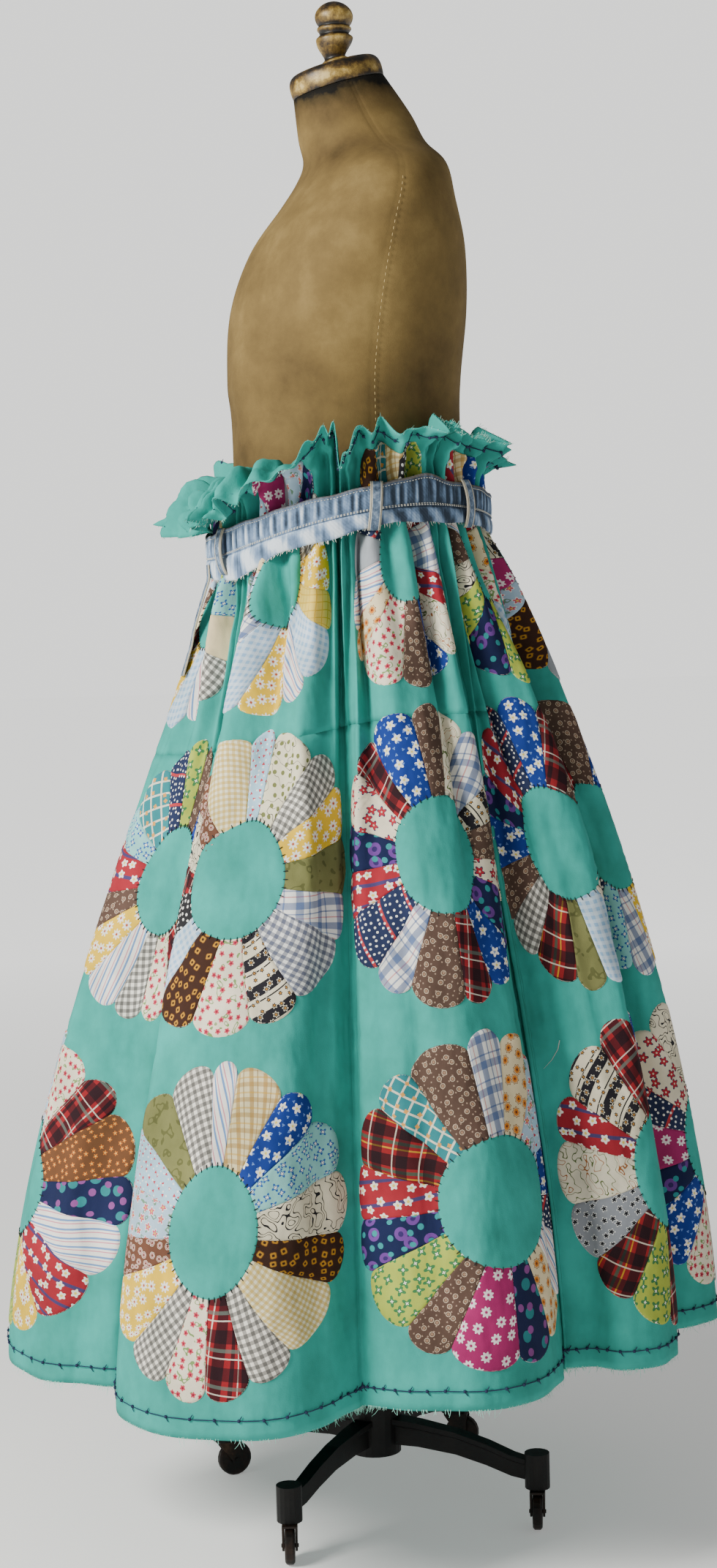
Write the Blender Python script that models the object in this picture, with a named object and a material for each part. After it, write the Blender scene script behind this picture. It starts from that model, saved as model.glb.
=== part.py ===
"""A quilted skirt gathered under a denim waistband, standing on a limbless dress form on casters.

Metres, +Z up. The front of the garment faces -Y and the form's left side faces +X. The origin is on
the floor under the middle of the whole part. The form's own axis stands a little behind it, because
the hem reaches further in front, and all measures below are taken from that axis. The skirt is one
quilt top of ten columns and three rows of blocks, wrapped into a tube, with its top row drawn
through the waistband so that its upper end stands above it as a header. Every cloth piece is a thin
wall on a surface that is worked out from the tables below, and neighbours stop 0.4 mm apart at
their seams.
"""

import math

import bpy
import numpy as np

# Place of the form's axis
AXIS_Y = 0.0185

# Cloth
CLOTH = 0.0018
SEAM_GAP = 0.0004
DENIM = 0.0024

# Quilt columns, one row each, round the skirt from its front towards the form's left side.
# Columns: letter, azimuth of its first edge (deg from +X), radius of its fold at the hem,
# height of the hem, depth of the valley at its first edge at the hem, power of the flare.
COLUMNS = (
    ("A", -112, 0.437, 0.215, 0.085, 1.42),
    ("B", -66, 0.450, 0.215, 0.100, 1.50),
    ("C", -17, 0.402, 0.232, 0.085, 1.60),
    ("D", 26, 0.410, 0.237, 0.078, 1.75),
    ("E", 52, 0.413, 0.240, 0.072, 1.85),
    ("F", 82, 0.405, 0.235, 0.080, 1.85),
    ("G", 116, 0.402, 0.230, 0.090, 1.70),
    ("H", 150, 0.410, 0.225, 0.085, 1.60),
    ("I", 184, 0.420, 0.220, 0.085, 1.50),
    ("J", 216, 0.430, 0.215, 0.080, 1.45),
)
# Length of the skirt below the waistband, and the rings of each row of blocks as shares of it
SKIRT_DROP = 0.950
ROW_RINGS = (
    (-0.0226, 0.0, 0.05, 0.105, 0.165, 0.229),
    (0.229, 0.346, 0.464, 0.581),
    (0.581, 0.720, 0.860, 1.0),
)
POINTS_PER_COLUMN = 12
FOLD_PINCH = 0.65
VALLEY_POWER = 3
# Gathers: waves a column, share of the drop over which they die away, and over which a valley
# stills them, then how much they differ and the waves of that difference a column.
GATHERS_PER_COLUMN = 3
GATHER_REACH = 0.28
VALLEY_CALM = 0.09
UNEVEN = 0.25
UNEVEN_WAVES = 0.3
UNEVEN_FROM = 0.1

# Waistband: an oval ring round the gathers, lower in front
WAIST_X = 0.1725
WAIST_Y = 0.1665
WAIST_SHIFT = -0.004
BAND_HEIGHT = 0.043
BAND_SIDE_Z = 1.198
BAND_TILT = 0.0195
BAND_DIP = -0.0305
BAND_POINTS = 64
# Outer face of the band from its top edge down: share of the height, how far it stands proud.
BAND_PROFILE = (
    (1.00, 0.0008),
    (0.93, 0.0016),
    (0.84, 0.0006),
    (0.36, 0.0002),
    (0.30, 0.0010),
    (0.05, 0.0012),
    (0.00, 0.0004),
)
LOOP_AZIMUTHS = (-72, -4, 37, 118, 212)
LOOP_WIDTH = 0.017
LOOP_BULGE = 0.0075
LOOP_THICK = 0.0022
LOOP_FOOT = 0.03
LOOP_STEPS = 9
# Strip that hangs from the band: its drop is a share of the skirt's, its place that of its fold.
TAIL_AZIMUTH = -92
TAIL_PLACE = 0.45
TAIL_WIDTH = 0.018
TAIL_DROP = 0.125
TAIL_START = 0.0006
TAIL_CLEAR = 0.0012
TAIL_STEPS = 8

# Gathers between the form and the band
GATHER = 0.0133

# Header above the band: cloth length at the sides and what the front adds
HEADER_LENGTH = 0.066
HEADER_FRONT = 0.042
HEADER_WAVES = 2
HEADER_WIDEN = 0.004
HEADER_FLARE = 0.006
HEADER_RINGS = (-1.0, 0.0, 0.30, 0.50, 0.68, 0.84, 1.0)
# Angles of the header's path above level: where it leaves the band, at its edge behind and in front,
# and the shares of its length between which it turns.
STAND_ANGLE = 90
BACK_LEAN = 66
FRONT_DROOP = -102
TURN_FROM = 0.12
TURN_TO = 0.92
PATH_STEPS = 24

# Dress form, rings from the bottom up
# Columns: height, half width, half depth, centre y, tilt forward (deg)
TORSO_RINGS = (
    (0.925, 0.108, 0.102, -0.003, 0),
    (0.931, 0.124, 0.118, -0.003, 0),
    (0.945, 0.132, 0.126, -0.003, 0),
    (1.000, 0.141, 0.135, -0.003, 0),
    (1.100, 0.140, 0.134, -0.004, 0),
    (1.290, 0.140, 0.134, -0.004, 0),
    (1.350, 0.147, 0.137, -0.005, 0),
    (1.430, 0.160, 0.138, 0.002, 0),
    (1.500, 0.168, 0.124, 0.014, 0),
    (1.555, 0.162, 0.098, 0.028, 0),
    (1.590, 0.134, 0.085, 0.034, 4),
    (1.615, 0.088, 0.072, 0.027, 8),
    (1.645, 0.064, 0.068, 0.016, 12),
    (1.690, 0.053, 0.055, -0.002, 15),
)
TORSO_POINTS = 44
# Cap plate: height above the neck along its tilted axis, half width, half depth
CAP_RINGS = (
    (0.0003, 0.0525, 0.0545),
    (0.013, 0.0535, 0.0555),
    (0.021, 0.0515, 0.0535),
    (0.0265, 0.045, 0.047),
)
CAP_TILT = 15
NECK_TOP = (-0.002, 1.690)
# Finial: height above its foot, radius, tilt of the ring (deg)
FINIAL_RINGS = (
    (0.000, 0.0150, 15),
    (0.004, 0.0160, 14),
    (0.008, 0.0125, 12),
    (0.022, 0.0195, 7),
    (0.031, 0.0215, 3),
    (0.035, 0.0175, 2),
    (0.040, 0.0200, 1),
    (0.044, 0.0180, 0),
    (0.053, 0.0220, 0),
    (0.062, 0.0205, 0),
    (0.069, 0.0140, 0),
    (0.072, 0.0060, 0),
)
FINIAL_POINTS = 20
FINIAL_Y = -0.0055

# Iron base
POST_RADIUS = 0.0125
POST_SIDES = 20
HUB_RADIUS = 0.031
HUB_SIDES = 24
HUB_LOW = 0.062
HUB_HIGH = 0.128
LEG_AZIMUTHS = (-42, 48, 138, 228)
# Leg stations: distance from the axis, height of its middle, its depth and its width
LEG_STATIONS = (
    (0.012, 0.090, 0.034, 0.024),
    (0.060, 0.090, 0.030, 0.021),
    (0.110, 0.086, 0.028, 0.018),
    (0.150, 0.078, 0.027, 0.017),
    (0.182, 0.069, 0.026, 0.016),
    (0.212, 0.065, 0.024, 0.015),
)
# Leg section: width of the web to that of the rib, and the shares of the depth, up from the
# middle, at which the rib begins to widen and is full.
RIB_SHARE = 0.55
RIB_UNDER = 0.18
RIB_FULL = 0.30
SOCKET_RADIUS = 0.0148
SOCKET_SIDES = 16
SOCKET_LOW = 0.0457
SOCKET_HIGH = 0.0875
SOCKET_OUT = 0.214

# Casters: where each trails (deg from +X), then sizes
TRAIL_AZIMUTHS = (-14, -20, 60, 100)
TRAIL = 0.012
WHEEL_RADIUS = 0.021
WHEEL_WIDTH = 0.011
WHEEL_BORE = 0.0027
WHEEL_SIDES = 20
WHEEL_FACE = 0.90
WHEEL_TREAD = 0.62
AXLE_RADIUS = 0.0023
CHEEK = 0.0024
CHEEK_GAP = 0.0009
CHEEK_ROUND = 0.0065
CHEEK_STEPS = 9
CHEEK_BACK = 0.010
CHEEK_AHEAD = 0.008
AXLE_PROUD = 0.0012
AXLE_SIDES = 10
PLATE_INSET = 0.0003
FORK_TOP = 0.0454
FORK_PLATE = 0.0026

TURN = 2 * math.pi
SHARP_FROM = math.radians(40)

# Plain materials: linear colour, roughness, metallic
COTTON = ((0.16, 0.46, 0.36), 0.85, 0.0)
BAND_DENIM = ((0.30, 0.38, 0.52), 0.9, 0.0)
LOOP_DENIM = ((0.33, 0.36, 0.40), 0.9, 0.0)
TAIL_DENIM = ((0.42, 0.50, 0.66), 0.9, 0.0)
CANVAS = ((0.27, 0.20, 0.09), 0.85, 0.0)
CAP_WOOD = ((0.55, 0.40, 0.20), 0.55, 0.0)
FINIAL_WOOD = ((0.33, 0.20, 0.08), 0.5, 0.0)
POST_IRON = ((0.020, 0.018, 0.016), 0.5, 0.8)
BASE_IRON = ((0.018, 0.016, 0.015), 0.55, 0.7)
FORK_IRON = ((0.030, 0.025, 0.022), 0.6, 0.7)
WHEEL_IRON = ((0.060, 0.050, 0.042), 0.65, 0.6)


def remove_everything():
    for obj in list(bpy.data.objects):
        bpy.data.objects.remove(obj, do_unlink=True)


def stand_on_axis():
    """Parents every piece that has no parent yet to an empty on the form's axis."""
    axis = bpy.data.objects.new("form_axis", None)
    axis.location = (0.0, AXIS_Y, 0.0)
    loose = [obj for obj in bpy.context.scene.objects if obj.parent is None]
    bpy.context.scene.collection.objects.link(axis)
    for obj in loose:
        obj.parent = axis


def add_material(obj, finish):
    """Gives one object its own plain material."""
    colour, roughness, metallic = finish
    material = bpy.data.materials.new(obj.name + "_material")
    material.use_nodes = True
    shader = material.node_tree.nodes["Principled BSDF"]
    shader.inputs["Base Color"].default_value = (*colour, 1.0)
    shader.inputs["Roughness"].default_value = roughness
    shader.inputs["Metallic"].default_value = metallic
    obj.data.materials.append(material)


def new_object(name, points, faces):
    """One mesh object from points and faces, smooth apart from its real edges."""
    mesh = bpy.data.meshes.new(name)
    mesh.from_pydata([tuple(map(float, point)) for point in points], [], faces)
    mesh.validate()
    mesh.shade_smooth()
    mesh.set_sharp_from_angle(angle=SHARP_FROM)
    obj = bpy.data.objects.new(name, mesh)
    bpy.context.scene.collection.objects.link(obj)
    return obj


def oval_radius(azimuth, half_x, half_y):
    """Distance from the middle of an oval to its edge: 1 / sqrt((cos/a)^2 + (sin/b)^2)."""
    return 1 / np.sqrt((np.cos(azimuth) / half_x) ** 2 + (np.sin(azimuth) / half_y) ** 2)


def column_value(index, place):
    """A value of the column table, eased from the middle of one column to the middle of the next."""
    values = np.array([column[index] for column in COLUMNS], float)
    whole = np.floor(place - 0.5)
    ease = (1 - np.cos(np.pi * (place - 0.5 - whole))) / 2
    first = values[whole.astype(int) % len(values)]
    second = values[(whole.astype(int) + 1) % len(values)]
    return first * (1 - ease) + second * ease


def fold_azimuth(place):
    """Azimuth round the skirt for a place along the cloth: even steps over a fold, short ones in a
    valley, as a trochoid has: t - k sin(2 pi t) / (2 pi) of the column's angle."""
    edges = np.radians([column[1] for column in COLUMNS] + [COLUMNS[0][1] + 360])
    whole = np.floor(place)
    share = place - whole
    column = whole.astype(int) % len(COLUMNS)
    eased = share - FOLD_PINCH * np.sin(TURN * share) / TURN
    turns = np.floor(whole / len(COLUMNS))
    return edges[column] + (edges[column + 1] - edges[column]) * eased + TURN * turns


def valley_depth(place):
    """Depth of the nearest valley at the hem, full on a column's edge and none on its fold."""
    depths = np.array([column[4] for column in COLUMNS])
    near = np.floor(place + 0.5).astype(int) % len(COLUMNS)
    return depths[near] * (1 + np.cos(TURN * place)) / 2


def band_height(azimuth):
    """Height of the middle of the waistband: level at the sides, lower in front."""
    back = np.sin(azimuth)
    return BAND_SIDE_Z + BAND_TILT * back + BAND_DIP * back**2


def gather_radius(azimuth):
    """Middle of the gathers, halfway between the form and the waistband."""
    outer = oval_radius(azimuth, WAIST_X, WAIST_Y)
    return outer - DENIM - SEAM_GAP * 2 - CLOTH / 2 - GATHER


def main_folds(place, drop):
    """The skirt with its ten main folds only. Radius = gathers + (hem - gathers) (1 - (1 - d)^flare)
    less the valley's depth (1 - (1 - d)^3), with d the drop from 0 at the band to 1 at the hem."""
    azimuth = fold_azimuth(place)
    below = np.clip(drop, 0, 1)
    start = gather_radius(azimuth)
    flare = 1 - (1 - below) ** column_value(5, place)
    valley = valley_depth(place) * (1 - (1 - below) ** VALLEY_POWER)
    radius = start + (column_value(2, place) - start) * flare - valley
    top = band_height(azimuth) - BAND_HEIGHT / 2
    height = top + (column_value(3, place) - top) * below - SKIRT_DROP * (drop - below)
    centre = WAIST_SHIFT * (1 - below)
    return np.stack(
        [radius * np.cos(azimuth), radius * np.sin(azimuth) + centre, height], axis=-1
    )


def normals(surface, place, along, step=1e-4):
    """Unit normals of a surface, by differences, facing away from the body."""
    across = surface(place + step, along) - surface(place - step, along)
    down = surface(place, along + step) - surface(place, along - step)
    normal = np.cross(down, across)
    return normal / np.linalg.norm(normal, axis=-1, keepdims=True)


def skirt(place, drop):
    """The main folds with the gathers added level, square to the cloth: a sine of three waves a
    column that dies away down the skirt as exp(-(d / reach)^2), and sooner in the valleys."""
    below = np.clip(drop, 0, 1)
    in_valley = np.abs(np.cos(np.pi * place))
    calm = 1 - in_valley * np.clip(below / VALLEY_CALM, 0, 1)
    differs = UNEVEN * np.sin(TURN * UNEVEN_WAVES * place + 1.0)
    uneven = 1 + differs * np.clip(below / UNEVEN_FROM, 0, 1)
    wave = GATHER * uneven * np.exp(-((below / GATHER_REACH) ** 2))
    wave = wave * calm * np.sin(TURN * GATHERS_PER_COLUMN * place)
    step = 1e-4
    across = main_folds(place + step, drop) - main_folds(place - step, drop)
    level = np.stack([across[..., 1], -across[..., 0], 0 * wave], axis=-1)
    level = level / np.linalg.norm(level, axis=-1, keepdims=True)
    return main_folds(place, drop) + level * wave[..., None]


def header_middle(place, rise):
    """Path of the header before its waves: straight behind the band while rise is under 0, then a
    curve whose angle eases from upright to a slight lean at the back, or over and down in front."""
    azimuth = fold_azimuth(place)
    front = ((1 - np.sin(azimuth)) / 2) ** 3
    length = HEADER_LENGTH + HEADER_FRONT * front
    last = np.radians(BACK_LEAN + (FRONT_DROOP - BACK_LEAN) * front)
    first = np.radians(STAND_ANGLE)
    above = np.maximum(rise, 0)
    radius = gather_radius(azimuth)
    height = band_height(azimuth) + BAND_HEIGHT / 2 * (1 + np.minimum(rise, 0))
    for step in range(PATH_STEPS):
        reached = above * (step + 0.5) / PATH_STEPS
        share = np.clip((reached - TURN_FROM) / (TURN_TO - TURN_FROM), 0, 1)
        angle = first + (last - first) * share**2 * (3 - 2 * share)
        radius = radius + length * above / PATH_STEPS * np.cos(angle)
        height = height + length * above / PATH_STEPS * np.sin(angle)
    radius = radius + HEADER_FLARE * above**2
    return np.stack(
        [radius * np.cos(azimuth), radius * np.sin(azimuth) + WAIST_SHIFT, height], axis=-1
    )


def header(place, rise):
    """The header with its waves, which widen from the gathers to its raw top edge."""
    above = np.maximum(rise, 0)
    wave = (GATHER + HEADER_WIDEN * above) * np.sin(TURN * HEADER_WAVES * place)
    out = -normals(header_middle, place, rise)
    return header_middle(place, rise) + out * wave[..., None]


def seam_inset(surface, place, along, axis, step=1e-4):
    """The change of place (axis 0) or along (axis 1) that moves half a seam gap over the surface."""
    moves = ((step, 0), (0, step))[axis]
    ahead = surface(place + moves[0], along + moves[1])
    behind = surface(place - moves[0], along - moves[1])
    speed = np.linalg.norm(ahead - behind, axis=-1) / (2 * step)
    return SEAM_GAP / 2 / speed


def wall(name, surface, places, rows, thickness, outward=1):
    """A closed wall of even thickness on one patch of a surface, its edges half a seam gap short."""
    place, along = np.meshgrid(places, rows)
    for edge, sign in ((0, 1), (-1, -1)):
        place[:, edge] += sign * seam_inset(surface, place[:, edge], along[:, edge], 0)
        along[edge, :] += sign * seam_inset(surface, place[edge, :], along[edge, :], 1)
    middle = surface(place, along)
    out = normals(surface, place, along) * outward * thickness / 2
    down, across = middle.shape[:2]
    points = np.concatenate([(middle + out).reshape(-1, 3), (middle - out).reshape(-1, 3)])
    inner = down * across
    faces = []
    for i in range(down - 1):
        for j in range(across - 1):
            a = i * across + j
            b = a + 1
            c = a + across
            d = c + 1
            faces.append((a, c, d, b))
            faces.append((inner + a, inner + b, inner + d, inner + c))
    rim = list(range(across))
    rim += [i * across + across - 1 for i in range(1, down)]
    rim += [(down - 1) * across + j for j in range(across - 2, -1, -1)]
    rim += [i * across for i in range(down - 2, 0, -1)]
    for k, a in enumerate(rim):
        b = rim[(k + 1) % len(rim)]
        faces.append((a, b, inner + b, inner + a))
    if outward < 0:
        faces = [face[::-1] for face in faces]
    return new_object(name, points, faces)


def make_blocks():
    """Thirty quilt blocks: three rows of ten."""
    for row, rings in enumerate(ROW_RINGS, 1):
        for index, column in enumerate(COLUMNS):
            places = np.linspace(index, index + 1, POINTS_PER_COLUMN + 1)
            block = wall(f"block_{row}_{column[0]}", skirt, places, np.array(rings), CLOTH)
            add_material(block, COTTON)


def make_header():
    """Five stretches of the header, two columns wide each."""
    for index in range(0, len(COLUMNS), 2):
        places = np.linspace(index, index + 2, 2 * POINTS_PER_COLUMN + 1)
        letters = COLUMNS[index][0] + COLUMNS[index + 1][0]
        piece = wall(f"header_{letters}", header, places, np.array(HEADER_RINGS), CLOTH, -1)
        add_material(piece, COTTON)


def ring_points(azimuths, radii, centre_y, heights):
    return np.stack(
        [radii * np.cos(azimuths), radii * np.sin(azimuths) + centre_y, heights], axis=-1
    )


def make_waistband():
    """The denim band: its ridged outer profile and plain inner face, carried round the oval."""
    azimuths = np.arange(BAND_POINTS) * TURN / BAND_POINTS
    outer = oval_radius(azimuths, WAIST_X, WAIST_Y)
    low = band_height(azimuths) - BAND_HEIGHT / 2
    rings = [
        ring_points(azimuths, outer + proud, WAIST_SHIFT, low + share * BAND_HEIGHT)
        for share, proud in BAND_PROFILE
    ]
    for share in (0.0, 1.0):
        rings.append(ring_points(azimuths, outer - DENIM, WAIST_SHIFT, low + share * BAND_HEIGHT))
    points = np.concatenate(rings)
    faces = []
    count = BAND_POINTS
    for i in range(len(rings)):
        below = (i + 1) % len(rings)
        for j in range(count):
            k = (j + 1) % count
            faces.append((i * count + j, below * count + j, below * count + k, i * count + k))
    band = new_object("waistband", points, faces)
    add_material(band, BAND_DENIM)


def make_belt_loops():
    """Arched strips that stand on the band: a bow of half a sine over the band's height."""
    across_steps = np.array([-0.5, 0.5])
    climb = np.linspace(LOOP_FOOT, 1.0, LOOP_STEPS)
    foot = BAND_PROFILE[0][1] + SEAM_GAP
    for number, degrees in enumerate(LOOP_AZIMUTHS, 1):
        azimuth = math.radians(degrees)
        side = np.array([-math.sin(azimuth), math.cos(azimuth), 0.0])
        out = np.array([math.cos(azimuth), math.sin(azimuth), 0.0])
        reach = float(oval_radius(azimuth, WAIST_X, WAIST_Y)) + foot
        low = float(band_height(azimuth)) - BAND_HEIGHT / 2
        faces = []
        points = []
        for share in climb:
            bow = LOOP_BULGE * math.sin(math.pi * share)
            for depth in (bow, bow + LOOP_THICK):
                for step in across_steps:
                    place = out * (reach + depth) + side * step * LOOP_WIDTH
                    points.append(place + (0, WAIST_SHIFT, low + share * BAND_HEIGHT))
        for i in range(len(climb) - 1):
            a = i * 4
            faces += [(a, a + 4, a + 5, a + 1), (a + 2, a + 3, a + 7, a + 6)]
            faces += [(a, a + 2, a + 6, a + 4), (a + 1, a + 5, a + 7, a + 3)]
        last = (len(climb) - 1) * 4
        faces += [(0, 1, 3, 2), (last, last + 2, last + 3, last + 1)]
        loop = new_object(f"belt_loop_{number}", points, faces)
        add_material(loop, LOOP_DENIM)


def make_tail():
    """A strip of denim left hanging from the band over the first column's fold."""
    drops = np.linspace(0.0, TAIL_DROP, TAIL_STEPS) + TAIL_START
    column = np.linspace(0.0, 1.0, 61)
    azimuth = math.radians(TAIL_AZIMUTH)
    points = []
    for drop in drops:
        ring = skirt(column, np.full_like(column, drop))
        reach = np.hypot(ring[:, 0], ring[:, 1] - WAIST_SHIFT * (1 - drop)).max()
        reach += CLOTH / 2 + TAIL_CLEAR
        height = float(main_folds(np.array([TAIL_PLACE]), np.array([drop]))[0, 2])
        for depth in (0, DENIM):
            for step in (-0.5, 0.0, 0.5):
                turn = azimuth + step * TAIL_WIDTH / reach
                radius = reach + depth
                points.append(
                    (
                        radius * math.cos(turn),
                        radius * math.sin(turn) + WAIST_SHIFT * (1 - drop),
                        height,
                    )
                )
    faces = []
    for i in range(len(drops) - 1):
        a = i * 6
        for j in (0, 1):
            faces.append((a + j, a + j + 6, a + j + 7, a + j + 1))
            faces.append((a + 3 + j, a + 4 + j, a + 10 + j, a + 9 + j))
        faces.append((a, a + 3, a + 9, a + 6))
        faces.append((a + 2, a + 8, a + 11, a + 5))
    last = (len(drops) - 1) * 6
    faces.append((0, 1, 2, 5, 4, 3))
    faces.append((last, last + 3, last + 4, last + 5, last + 2, last + 1))
    tail = new_object("waistband_tail", points, [face[::-1] for face in faces])
    add_material(tail, TAIL_DENIM)


def stacked_rings(name, rings, around):
    """A closed solid through tilted oval rings, from the bottom up, with flat ends. A ring is its
    centre y and z, its half width and half depth, and its tilt forward."""
    azimuths = np.arange(around) * TURN / around
    points = []
    for centre_y, centre_z, half_x, half_y, tilt in rings:
        lean = math.radians(tilt)
        depth = half_y * np.sin(azimuths)
        ring = np.stack(
            [
                half_x * np.cos(azimuths),
                centre_y + depth * math.cos(lean),
                centre_z + depth * math.sin(lean),
            ],
            axis=-1,
        )
        points.append(ring)
    faces = [tuple(range(around))[::-1]]
    for i in range(len(rings) - 1):
        for j in range(around):
            k = (j + 1) % around
            faces.append((i * around + j, i * around + k, (i + 1) * around + k, (i + 1) * around + j))
    top = (len(rings) - 1) * around
    faces.append(tuple(range(top, top + around)))
    return new_object(name, np.concatenate(points), faces)


def make_form():
    """The torso, its neck cap and the turned finial."""
    rings = [(y, z, half_x, half_y, tilt) for z, half_x, half_y, y, tilt in TORSO_RINGS]
    torso = stacked_rings("form_torso", rings, TORSO_POINTS)
    add_material(torso, CANVAS)
    lean = math.radians(CAP_TILT)
    neck_y, neck_z = NECK_TOP
    cap = stacked_rings(
        "form_neck_cap",
        [
            (neck_y - up * math.sin(lean), neck_z + up * math.cos(lean), half_x, half_y, CAP_TILT)
            for up, half_x, half_y in CAP_RINGS
        ],
        TORSO_POINTS,
    )
    add_material(cap, CAP_WOOD)
    cap_height = CAP_RINGS[-1][0]
    top_y = neck_y - cap_height * math.sin(lean)
    foot_z = neck_z + cap_height * math.cos(lean) + (FINIAL_Y - top_y) * math.tan(lean) + SEAM_GAP
    finial = stacked_rings(
        "form_finial",
        [(FINIAL_Y, foot_z + up, radius, radius, tilt) for up, radius, tilt in FINIAL_RINGS],
        FINIAL_POINTS,
    )
    add_material(finial, FINIAL_WOOD)


def round_bar(name, radius, low, high, sides, at=(0.0, 0.0)):
    azimuths = (np.arange(sides) + 0.5) * TURN / sides
    ring = np.stack([at[0] + radius * np.cos(azimuths), at[1] + radius * np.sin(azimuths)], axis=-1)
    points = [(x, y, z) for z in (low, high) for x, y in ring]
    faces = [tuple(range(sides))[::-1], tuple(range(sides, 2 * sides))]
    for j in range(sides):
        k = (j + 1) % sides
        faces.append((j, k, sides + k, sides + j))
    return new_object(name, points, faces)


def leg_solid(name, degrees):
    """One leg: a deep web under a wider top rib, carried along its stations."""
    azimuth = math.radians(degrees)
    out = np.array([math.cos(azimuth), math.sin(azimuth), 0.0])
    side = np.array([-math.sin(azimuth), math.cos(azimuth), 0.0])
    up = np.array([0.0, 0.0, 1.0])
    points = []
    for reach, height, depth, width in LEG_STATIONS:
        web = width * RIB_SHARE
        section = (
            (-web / 2, -depth / 2),
            (web / 2, -depth / 2),
            (web / 2, depth * RIB_UNDER),
            (width / 2, depth * RIB_FULL),
            (width / 2, depth / 2),
            (-width / 2, depth / 2),
            (-width / 2, depth * RIB_FULL),
            (-web / 2, depth * RIB_UNDER),
        )
        for sideways, rise in section:
            points.append(out * reach + side * sideways + up * (height + rise))
    count = 8
    faces = [tuple(range(count))[::-1]]
    for i in range(len(LEG_STATIONS) - 1):
        for j in range(count):
            k = (j + 1) % count
            faces.append((i * count + j, i * count + k, (i + 1) * count + k, (i + 1) * count + j))
    top = (len(LEG_STATIONS) - 1) * count
    faces.append(tuple(range(top, top + count)))
    return new_object(name, points, faces)


def join_solids(body, others):
    """Unions the others into the body and removes them."""
    for other in others:
        union = body.modifiers.new("join_" + other.name, "BOOLEAN")
        union.operation = "UNION"
        union.object = other
    bpy.context.view_layer.update()
    graph = bpy.context.evaluated_depsgraph_get()
    joined = bpy.data.meshes.new_from_object(body.evaluated_get(graph))
    body.modifiers.clear()
    body.data = joined
    for other in others:
        bpy.data.objects.remove(other, do_unlink=True)
    body.data.shade_smooth()
    body.data.set_sharp_from_angle(angle=SHARP_FROM)


def make_base():
    """The post, and the iron star of four legs with a caster socket at the end of each."""
    post_top = TORSO_RINGS[0][0] - SEAM_GAP
    post = round_bar("form_post", POST_RADIUS, HUB_HIGH + SEAM_GAP, post_top, POST_SIDES)
    add_material(post, POST_IRON)
    base = round_bar("form_base", HUB_RADIUS, HUB_LOW, HUB_HIGH, HUB_SIDES)
    others = []
    for number, degrees in enumerate(LEG_AZIMUTHS, 1):
        azimuth = math.radians(degrees)
        at = (SOCKET_OUT * math.cos(azimuth), SOCKET_OUT * math.sin(azimuth))
        others.append(leg_solid(f"leg_{number}", degrees))
        others.append(
            round_bar(f"socket_{number}", SOCKET_RADIUS, SOCKET_LOW, SOCKET_HIGH, SOCKET_SIDES, at)
        )
    join_solids(base, others)
    add_material(base, BASE_IRON)


def fork_mesh():
    """A caster fork about its swivel axis: two cheeks under a plate, and the axle between them."""
    inner = WHEEL_WIDTH / 2 + CHEEK_GAP
    outer = inner + CHEEK
    axle_down = WHEEL_RADIUS - FORK_TOP
    plate_down = -FORK_PLATE
    arc = [
        (TRAIL + CHEEK_ROUND * math.cos(angle), axle_down + CHEEK_ROUND * math.sin(angle))
        for angle in np.linspace(0, -math.pi, CHEEK_STEPS)
    ]
    back = -CHEEK_BACK
    ahead = TRAIL + CHEEK_AHEAD
    outline = [(back, 0.0), (back, plate_down), *arc[::-1], (ahead, plate_down), (ahead, 0.0)]
    solids = []
    for low, high in ((inner, outer), (-outer, -inner)):
        count = len(outline)
        points = [(x, y, z) for y in (low, high) for x, z in outline]
        faces = [tuple(range(count)), tuple(range(count, 2 * count))[::-1]]
        for j in range(count):
            k = (j + 1) % count
            faces.append((j, count + j, count + k, k))
        solids.append(new_object(f"cheek_{len(solids)}", points, faces))
    plate = new_object(
        "fork",
        [
            (x, y, z)
            for z in (plate_down, 0.0)
            for x, y in (
                (back + PLATE_INSET, PLATE_INSET - outer),
                (ahead - PLATE_INSET, PLATE_INSET - outer),
                (ahead - PLATE_INSET, outer - PLATE_INSET),
                (back + PLATE_INSET, outer - PLATE_INSET),
            )
        ],
        [(3, 2, 1, 0), (4, 5, 6, 7), (0, 1, 5, 4), (1, 2, 6, 5), (2, 3, 7, 6), (3, 0, 4, 7)],
    )
    azimuths = np.arange(AXLE_SIDES) * TURN / AXLE_SIDES
    points = [
        (TRAIL + AXLE_RADIUS * math.cos(a), y, axle_down + AXLE_RADIUS * math.sin(a))
        for y in (-outer - AXLE_PROUD, outer + AXLE_PROUD)
        for a in azimuths
    ]
    faces = [tuple(range(AXLE_SIDES)), tuple(range(AXLE_SIDES, 2 * AXLE_SIDES))[::-1]]
    for j in range(AXLE_SIDES):
        k = (j + 1) % AXLE_SIDES
        faces.append((j, AXLE_SIDES + j, AXLE_SIDES + k, k))
    solids.append(new_object("axle", points, faces))
    join_solids(plate, solids)
    mesh = plate.data.copy()
    bpy.data.objects.remove(plate, do_unlink=True)
    return mesh


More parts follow.
